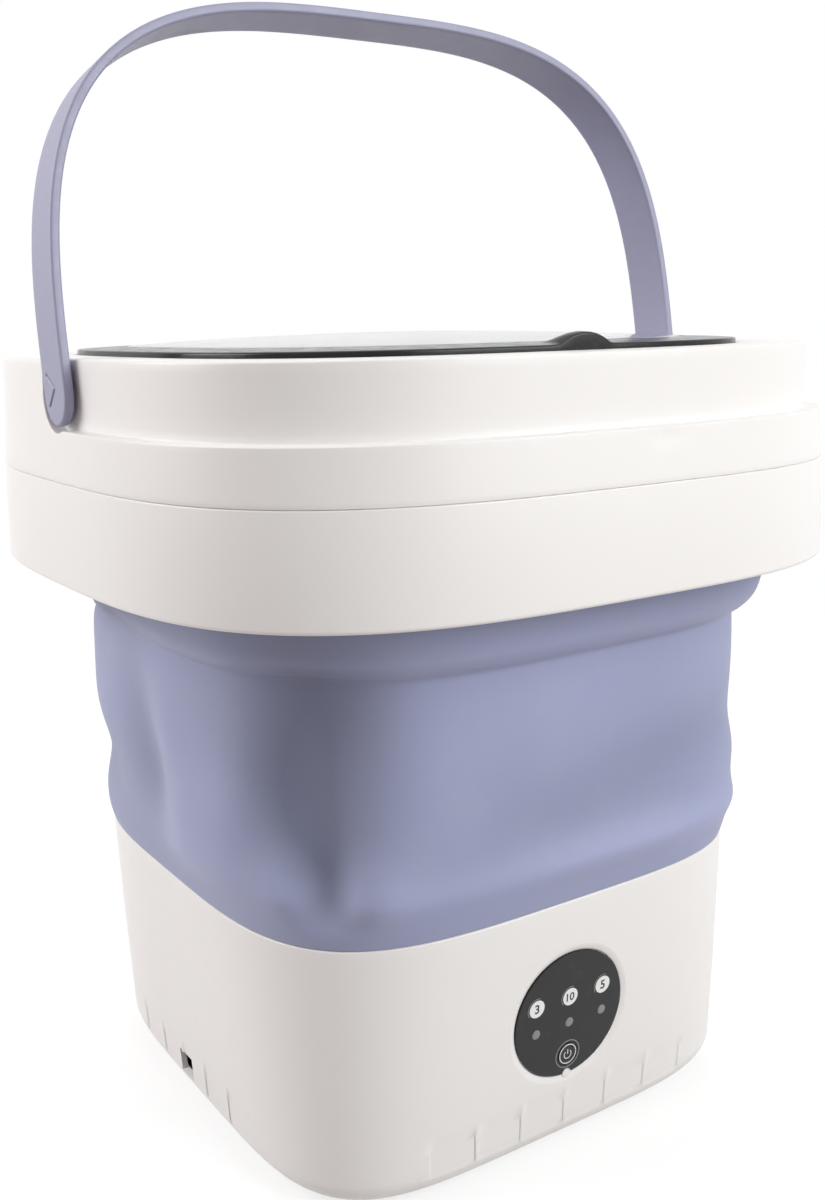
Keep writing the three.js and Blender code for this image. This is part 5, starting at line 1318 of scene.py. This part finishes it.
def clamp_parts(size, upper):
    """A clamp ring: a flat band with a lip beside the soft wall's bead."""
    gap, thick, wide, lip_wide = 0.3, 2.6, 9.6, 5.8
    if upper:
        outer = size.soft_half + size.soft_bulge + SHOULDER_OUT - size.soft_thick - gap
        face, lip = size.soft_top - size.soft_thick - gap, size.soft_top
        back, squareness = face - thick, RING_SQUARENESS
    else:
        outer = size.soft_half - size.soft_thick - gap
        face, lip = size.soft_foot + size.soft_thick + gap, size.base_top + gap
        back, squareness = face + thick, TOP_SQUARENESS
    inner = outer - wide
    corners = [
        (outer, back, 0.6), (outer, face, 0.2), (inner + lip_wide, face, 0.2),
        (inner + lip_wide, lip, 0.2), (inner, lip, 0.2), (inner, back, 0.8)]
    return [turned_ring(corners, crowded(240), squareness)]


def agitator_parts():
    """The agitator: a low cone with four bent blades and six drain holes, as a height over (r, a).

    A blade is a ridge along the line y = 2 t (1 - t) bend, t going from the hub to the edge; its
    height falls towards the edge, and the holes are small pits."""
    bottom, outer, hub, bend = 63.3, 52.0, 14.0, 15
    bore, rim = 1.6, outer - 1.5
    radius = np.concatenate([np.linspace(bore, hub + 1, 14), np.linspace(hub + 1, rim, 52)[1:]])[:, None]
    angle = even_angles(320)[None]
    cone = bottom + 3 + 6 * (outer - radius) / (outer - hub)
    tower = bottom + 9 + 9.2 * smoothstep(hub + 1, hub - 3.5, radius)
    top = np.where(radius < hub + 1, np.maximum(np.minimum(cone, bottom + 9), tower), cone)
    inner = hub - 6
    t = np.clip((radius - inner) / (outer - inner), 0, 1)
    swept = 2 * t * (1 - t) * bend / np.maximum(radius, 6)
    crest = mix(bottom + 13, bottom + 6.2, np.clip((radius - hub) / (outer - hub), 0, 1))
    ending = smoothstep(outer - 5, rim, radius)
    ridge = crest * (1 - ending) + cone * ending
    height = top + 0 * angle
    for blade in range(4):
        turn = np.mod(angle - blade * np.pi / 2 - swept + np.pi, FULL_TURN) - np.pi
        share = 1 - smoothstep(1.4, 3.6, np.abs(turn) * radius)
        height = np.maximum(height, mix(height, ridge + 0 * angle, share))
    hole_count, hole_ring, hole_depth = 6, 41, 2.6
    for hole in range(hole_count):
        at = FULL_TURN * (hole + 0.5) / hole_count
        x = radius * np.cos(angle) - hole_ring * math.cos(at)
        y = radius * np.sin(angle) - hole_ring * math.sin(at)
        height = height - hole_depth * (1 - smoothstep(1.7, 2.3, np.hypot(x, y)))
    grid = round_axis(radius, angle, height)
    edge = [(outer - 0.5, bottom + 2.9), (outer - 0.1, bottom + 2.2), (outer, bottom + 1.5),
            (outer - 0.4, bottom + 0.5), (rim, bottom), (5, bottom), (4.3, bottom),
            (4.3, bottom + 13.9), (1.8, bottom + 14)]
    return [surface(np.concatenate([grid, turned(np.array(edge), angle[0])]), closed=True)]


def cap_parts():
    """Domed cap screw in the agitator's middle, with a cross pressed into it."""
    half, rim_height, rise, cross_depth = 7.9, 82.2, 2.5, 1.1
    radius = np.linspace(0, 1, 30)[:, None] * half
    angle = even_angles(128)[None]
    dome = rim_height + rise * np.sqrt(np.maximum(1 - (radius / (half + 0.7)) ** 2, 0))
    x, y = np.abs(radius * np.cos(angle)), np.abs(radius * np.sin(angle))
    cross = (1 - smoothstep(0.45, 0.8, np.minimum(x, y))) * (1 - smoothstep(3.4, 4.0, np.maximum(x, y)))
    top = round_axis(radius, angle, dome - cross_depth * cross)
    under = np.array([(8.0, 83.0), (8.0, 82.4), (7.7, 82.1), (1.5, 82.1), (1.5, 72.0), (0, 72.0)])
    return [surface(np.concatenate([top, turned(under, angle[0])]))]


def along_spout(size, part):
    """A part made on the upright axis, laid along the drain spout with its top to the back."""
    place = Matrix.Translation((0, 0, size.spout_height)) @ Matrix.Rotation(-math.pi / 2, 4, "X")
    return moved(part, place)


def spout_parts(size):
    """The drain spout: a pipe to the back with a collar, and an elbow up to the tub's floor."""
    bore, outside, elbow_y = 4.6, 6.5, 74
    face = base_half(size, size.spout_height)
    start, end, collar_at = elbow_y - 4, face + 11, face + 0.4
    pipe = [(bore, start, 0.1), (outside, start, 0.1), (outside, end, 0.5), (bore, end, 0.4)]
    collar = [(6.4, collar_at, 0.1), (8.6, collar_at, 0.2), (8.2, collar_at + 1.6, 0.6),
              (6.4, collar_at + 1.9, 0.2)]
    elbow_foot, elbow_top = size.spout_height - 6.4, 66
    elbow = [(bore, elbow_foot, 0.1), (outside, elbow_foot, 2), (outside, elbow_top, 0.2),
             (bore, elbow_top, 0.2)]
    return [along_spout(size, turned_ring(pipe, even_angles(72))),
            along_spout(size, turned_ring(collar, even_angles(72))),
            shifted(turned_ring(elbow, even_angles(64)), 0, elbow_y, 0)]


def stopper_parts(size):
    """The drain's stopper: a plug, a round cap and a thin grip with rounded edges.

    The grip is an upright tongue whose outline is half a squared oval and whose section is rounded."""
    back = base_half(size, size.spout_height) + 11.3
    corners = [(0, back - 10, 0), (3.9, back - 10, 0.8), (4.3, back, 0.2), (8, back, 0.5),
               (8, back + 3, 0.9), (0, back + 3, 0)]
    root, grip_squareness = back + 2.2, 2.6
    turn = even_angles(96)
    rise = 6.3 * reach(turn, grip_squareness) * np.cos(turn)
    out = np.maximum(5.6 * reach(turn, grip_squareness) * np.sin(turn), 0)
    layers = [(0, -1.5), (0.75, -1.5), (0.94, -1.25), (1, -0.8),
              (1, 0.8), (0.94, 1.25), (0.75, 1.5), (0, 1.5)]
    grip = np.stack([
        np.stack([x + 0 * turn, root + out * share, size.spout_height + rise * share], -1)
        for share, x in layers])
    return [along_spout(size, turned_cap(corners, 72, longest=2)), surface(grip)]


def feet_parts():
    """Four round rubber feet, narrower where they meet the floor."""
    foot = turned_cap([(0, 0, 0), (7.3, 0, 0.5), (8, 1.6, 0.3), (8, 2.0, 0.1), (0, 2.0, 0)], 56)
    place = 60
    return [shifted(foot, x, y) for x in (-place, place) for y in (-place, place)]


def socket_parts():
    """The power socket: a block with a rounded face, a round bore and a pin."""
    face, y, z = -94.83, 8.0, 14.8
    half_y, half_z, block_squareness = 5.2, 4.5, 8
    mouth, bore, bore_end, block_end = 3.5, 3.2, 9, 14
    turn = even_angles(96)
    square = np.stack([half_y * np.cos(turn), half_z * np.sin(turn)], -1)
    square *= reach(turn, block_squareness)[:, None]
    circle = np.stack([np.cos(turn), np.sin(turn)], -1)
    rows = [(square * 0.02, block_end), (square, block_end), (square, 0.4), (square * 0.95, 0.0),
            (circle * mouth, 0.0), (circle * bore, 0.4), (circle * bore, bore_end), (circle * 0.02, bore_end)]
    block = np.stack([
        np.stack([face + depth + 0 * turn, y + flat[:, 0], z + flat[:, 1]], -1) for flat, depth in rows])
    pin = turned_cap([(0, 0, 0), (1, 0, 0), (1, 7.5, 0.4), (0, 7.5, 0)], 32)
    place = Matrix.Translation((face + bore_end + 0.2, y, z)) @ Matrix.Rotation(-math.pi / 2, 4, "Y")
    return [surface(block), moved(pin, place)]


# Operators: one for each piece or group of like pieces, and one for the stage


class WasherBuild:
    """What the operators share"""

    bl_options = {"REGISTER", "UNDO"}


class WASHER_OT_casing(WasherBuild, bpy.types.Operator):
    """Build the white casing with its panel recess, finger recesses, power window and feet"""

    bl_idname = "washer.casing"
    bl_label = "Casing and feet"

    def execute(self, context):
        size = shape()
        add_piece("casing", casing_parts(size), "white", "base", ["base_shell"])
        add_piece("power_socket", socket_parts(), "black", "base", ["dc_jack"])
        feet = ["foot_1", "foot_2", "foot_3", "foot_4"]
        add_piece("feet", feet_parts(), "black rubber", "base", feet)
        return {"FINISHED"}


class WASHER_OT_soft_wall(WasherBuild, bpy.types.Operator):
    """Build the folded soft wall between the casing and the upper ring"""

    bl_idname = "washer.soft_wall"
    bl_label = "Soft wall"

    def execute(self, context):
        size = shape()
        parts, hollow = soft_parts(size)
        wall = add_piece("soft_wall", parts, "silicone", "base", ["silicone_wall"],
                         sharp=60, attributes={"hollow": hollow})
        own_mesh(wall)
        return {"FINISHED"}


class WASHER_OT_ring(WasherBuild, bpy.types.Operator):
    """Build the upper ring's skirt and top frame and its clamp ring"""

    bl_idname = "washer.ring"
    bl_label = "Upper ring"

    def execute(self, context):
        size = shape()
        clamp = clamp_parts(size, upper=True)
        add_piece("ring_skirt", skirt_parts(size), "white", "rim", ["rim_skirt"])
        add_piece("ring_frame", frame_parts(size), "white", "rim", ["rim_frame"])
        add_piece("upper_clamp", clamp, "inner white", "rim", ["upper_clamp_ring"])
        return {"FINISHED"}


class WASHER_OT_handle(WasherBuild, bpy.types.Operator):
    """Build the carrying handle's strap"""

    bl_idname = "washer.handle"
    bl_label = "Carrying handle"

    def execute(self, context):
        parts, groove = handle_parts(shape())
        add_piece("carrying_handle", parts, "strap", "handle", ["handle"],
                  attributes={"groove": groove})
        return {"FINISHED"}


class WASHER_OT_lid(WasherBuild, bpy.types.Operator):
    """Build the lid's dark rim, its clear dome and its seal"""

    bl_idname = "washer.lid"
    bl_label = "Lid"

    def execute(self, context):
        size = shape()
        add_piece("lid_rim", lid_parts(size), "black", "lid", ["lid_frame"])
        add_piece("lid_dome", window_parts(size), "clear", "lid", ["lid_window"], sharp=50)
        add_piece("lid_gasket", seal_parts(size), "rubber", "lid", ["lid_seal"])
        return {"FINISHED"}


class WASHER_OT_panel(WasherBuild, bpy.types.Operator):
    """Build the control panel: its dark disc, print, numbers, lamps and button"""

    bl_idname = "washer.panel"
    bl_label = "Control panel"

    def execute(self, context):
        size = shape()
        add_piece("panel_disc", disc_parts(size), "panel", "base", ["panel_overlay"])
        add_piece("panel_print", print_parts(size), "print", "base", [])
        add_piece("panel_faint_print", faint_parts(size), "lamp", "base", [])
        for (name, text), x in zip(NUMBERS, ROW_PLACES):
            add_piece(f"number_{name}", number_parts(size, text, x), "print dark", "base", [],
                      sharp=0, merge=1e-7)
        for i, x in enumerate(ROW_PLACES, 1):
            add_piece(f"panel_lamp_{i}", lamp_parts(size, x), "lamp", "base", [f"lamp_lens_{i}"])
        add_piece("panel_button", button_parts(size), "panel", "button", ["mode_button"])
        add_piece("button_print", button_print_parts(size), "print", "button", [])
        return {"FINISHED"}


class WASHER_OT_inside(WasherBuild, bpy.types.Operator):
    """Build the tub, its clamp ring and the agitator with its cap"""

    bl_idname = "washer.inside"
    bl_label = "Tub and agitator"

    def execute(self, context):
        size = shape()
        clamp, wheel, cap = clamp_parts(size, upper=False), agitator_parts(), cap_parts()
        add_piece("tub", tub_parts(size), "inner white", "base", ["tub_floor"])
        add_piece("lower_clamp", clamp, "inner white", "base", ["lower_clamp_ring"])
        add_piece("agitator_wheel", wheel, "agitator", "agitator", ["agitator"])
        add_piece("agitator_cap", cap, "inner white", "agitator", ["agitator_cap_screw"])
        return {"FINISHED"}


class WASHER_OT_drain(WasherBuild, bpy.types.Operator):
    """Build the drain spout and its stopper at the back"""

    bl_idname = "washer.drain"
    bl_label = "Drain"

    def execute(self, context):
        size = shape()
        add_piece("spout", spout_parts(size), "inner white", "base", ["drain_spout"])
        add_piece("stopper_cap", stopper_parts(size), "rubber", "stopper", ["drain_stopper"])
        return {"FINISHED"}


# The finish of each node of the frame, by the first of these words that is in its name
NODE_FINISHES = (
    ("agitator_cap", "inner white"), ("screw", "steel"), ("bearing", "steel"), ("bracket", "steel"),
    ("shaft_seal", "black rubber"), ("belt", "black rubber"), ("pulley", "black"), ("shaft", "steel"),
    ("motor", "steel"), ("board", "board"), ("cover", "white"), ("foot", "black rubber"),
    ("jack", "black"), ("handle", "strap"), ("lid_frame", "black"), ("window", "clear"),
    ("seal", "rubber"), ("silicone", "silicone"), ("lamp_lens", "lamp"), ("overlay", "panel"),
    ("button", "panel"), ("stopper", "rubber"), ("agitator", "agitator"), ("", "white"))


class WASHER_OT_frame_finishes(WasherBuild, bpy.types.Operator):
    """Give every node of the frame its finish"""

    bl_idname = "washer.frame_finishes"
    bl_label = "Frame finishes"

    def execute(self, context):
        for name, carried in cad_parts.items():
            wanted = next(finish for word, finish in NODE_FINISHES if word in name)
            for slot in carried.material_slots:
                slot.material = material_named(wanted)
        return {"FINISHED"}


# The stage: places and axes in metres
CAMERA_PLACE = (-0.27281, -0.42235, 0.29615)
CAMERA_AXES = (
    (0.83340, -0.55229, -0.02029), (0.13337, 0.16536, 0.97717), (-0.53633, -0.81709, 0.21147))
PICTURE_HEIGHT = 36.0
LAMP_TARGET = (0, 0, 0.19)
FLOOR_HALF = 6.0
FLOOR_FADE = (0.3, 1.0)
FLOOR_COLOUR = (0.53, 0.5, 0.485, 1)
AMBIENT_COLOUR = (1.0, 0.87, 0.82, 1)
COOL_WHITE = (0.97, 1.0, 1.0)
WHITE = (1, 1, 1, 1)


def matrix_of(axes, place):
    """A 4 x 4 matrix from three axes and a place."""
    made = np.eye(4)
    made[:3, :3] = np.array(axes).T
    made[:3, 3] = place
    return Matrix(made)


def soft_lamp(name, place, side, power, tint=WHITE[:3]):
    """A large square lamp that faces the washer's middle."""
    data = bpy.data.lights.new(name, "AREA")
    data.size = side
    data.energy = power
    data.color = tint
    lamp = bpy.data.objects.new(name, data)
    bpy.context.collection.objects.link(lamp)
    back = np.array(place) - np.array(LAMP_TARGET)
    back /= np.linalg.norm(back)
    right = np.cross((0, 0, 1), back)
    right /= np.linalg.norm(right)
    lamp.matrix_world = matrix_of((right, np.cross(back, right), back), place)
    return lamp


def finish_tree(tree, output, plain, white):
    """Ends a tree: camera rays, mirrored rays and rays let through see the white shader, and all
    others the plain one."""
    path = tree.nodes.new("ShaderNodeLightPath")
    total = path.outputs["Is Camera Ray"]
    for name in ("Is Glossy Ray", "Is Transmission Ray"):
        either = node(tree, "ShaderNodeMath", _0=total, _1=path.outputs[name])
        either.operation = "MAXIMUM"
        total = either.outputs[0]
    choose = node(tree, "ShaderNodeMixShader", _0=total, _1=plain.outputs[0], _2=white.outputs[0])
    node(tree, output, Surface=choose.outputs[0])


def empty_tree(owner):
    """The shader tree of a material or world, without its first nodes."""
    owner.use_nodes = True
    owner.node_tree.nodes.clear()
    return owner.node_tree


def add_floor():
    """The pale floor: grey to the light, but white to the eye and darker only where it is in shade."""
    mesh = bpy.data.meshes.new("floor")
    corners = np.array([(-1, -1, 0), (1, -1, 0), (1, 1, 0), (-1, 1, 0)]) * FLOOR_HALF
    mesh.from_pydata(corners, [], [(0, 1, 2, 3)])
    floor = bpy.data.objects.new("floor", mesh)
    bpy.context.collection.objects.link(floor)
    material = bpy.data.materials.new("Stage floor")
    tree = empty_tree(material)
    away = node(tree, "ShaderNodeVectorMath", _0=tree.nodes.new("ShaderNodeTexCoord").outputs["Object"])
    away.operation = "LENGTH"
    distance = away.outputs["Value"]
    lit = node(tree, "ShaderNodeBsdfDiffuse", Color=ramp(tree, distance, *FLOOR_FADE, 0.34, 0.0))
    glow = node(
        tree, "ShaderNodeEmission", Color=WHITE, Strength=ramp(tree, distance, *FLOOR_FADE, 0.72, 1.0))
    both = node(tree, "ShaderNodeAddShader", _0=lit.outputs[0], _1=glow.outputs[0])
    plain = node(tree, "ShaderNodeBsdfDiffuse", Color=FLOOR_COLOUR)
    finish_tree(tree, "ShaderNodeOutputMaterial", plain, both)
    mesh.materials.append(material)


def add_surroundings(ambient):
    """White surroundings that light the washer only faintly, by an ambient strength."""
    world = bpy.data.worlds.new("Stage surroundings")
    bpy.context.scene.world = world
    tree = empty_tree(world)
    dim = node(tree, "ShaderNodeBackground", Color=AMBIENT_COLOUR, Strength=ambient)
    white = node(tree, "ShaderNodeBackground", Color=WHITE, Strength=1.0)
    finish_tree(tree, "ShaderNodeOutputWorld", dim, white)


def add_camera(lens):
    """The camera, upright, with a lens in millimetres."""
    data = bpy.data.cameras.new("camera")
    data.sensor_fit = "VERTICAL"
    data.sensor_height = PICTURE_HEIGHT
    data.lens = lens
    data.clip_start = 0.01
    camera = bpy.data.objects.new("camera", data)
    bpy.context.collection.objects.link(camera)
    camera.matrix_world = matrix_of(CAMERA_AXES, CAMERA_PLACE)
    bpy.context.scene.camera = camera


class WASHER_OT_stage(WasherBuild, bpy.types.Operator):
    """Set the pale floor, the soft lamps, the white surroundings and the camera"""

    bl_idname = "washer.stage"
    bl_label = "Stage"

    def execute(self, context):
        stage = context.scene.washer_stage
        add_floor()
        add_surroundings(stage.ambient)
        soft_lamp("lamp_left", (-1.13, 0.65, 0.85), 1.0, stage.left_power)
        soft_lamp("lamp_right", (0.54, -1.19, 0.85), 1.0, stage.right_power, COOL_WHITE)
        back = soft_lamp("lamp_back", (0.75, 1.1, 0.8), 1.2, stage.back_power)
        back.visible_glossy = False
        soft_lamp("lamp_top", (0.1, 0.1, 1.5), 1.2, stage.top_power)
        add_camera(stage.camera_lens)
        context.scene.view_settings.view_transform = "Standard"
        return {"FINISHED"}


OPERATORS = (
    WASHER_OT_frame_finishes, WASHER_OT_casing, WASHER_OT_soft_wall, WASHER_OT_ring, WASHER_OT_handle,
    WASHER_OT_lid, WASHER_OT_panel, WASHER_OT_inside, WASHER_OT_drain, WASHER_OT_stage)


class WASHER_PT_pieces(bpy.types.Panel):
    """Lists the washer's pieces in the sidebar"""

    bl_idname = "WASHER_PT_pieces"
    bl_label = "Mini washing machine"
    bl_space_type = "VIEW_3D"
    bl_region_type = "UI"
    bl_category = "Washer"

    def draw(self, context):
        for kind in OPERATORS:
            self.layout.operator(kind.bl_idname)


GROUPS = (("washer_shape", WasherShape), ("washer_finish", WasherFinish), ("washer_stage", WasherStage))


def register():
    """Registers the property groups, the operators and the panel."""
    for name, kind in GROUPS:
        bpy.utils.register_class(kind)
        setattr(bpy.types.Scene, name, bpy.props.PointerProperty(type=kind))
    for kind in (*OPERATORS, WASHER_PT_pieces):
        bpy.utils.register_class(kind)


def unregister():
    """Takes the panel, the operators and the property groups away."""
    for kind in (WASHER_PT_pieces, *reversed(OPERATORS)):
        bpy.utils.unregister_class(kind)
    for name, kind in reversed(GROUPS):
        delattr(bpy.types.Scene, name)
        bpy.utils.unregister_class(kind)


def main():
    """Builds every piece in order."""
    register()
    for kind in OPERATORS:
        group, name = kind.bl_idname.split(".")
        getattr(getattr(bpy.ops, group), name)()


if __name__ == "__main__":
    main()
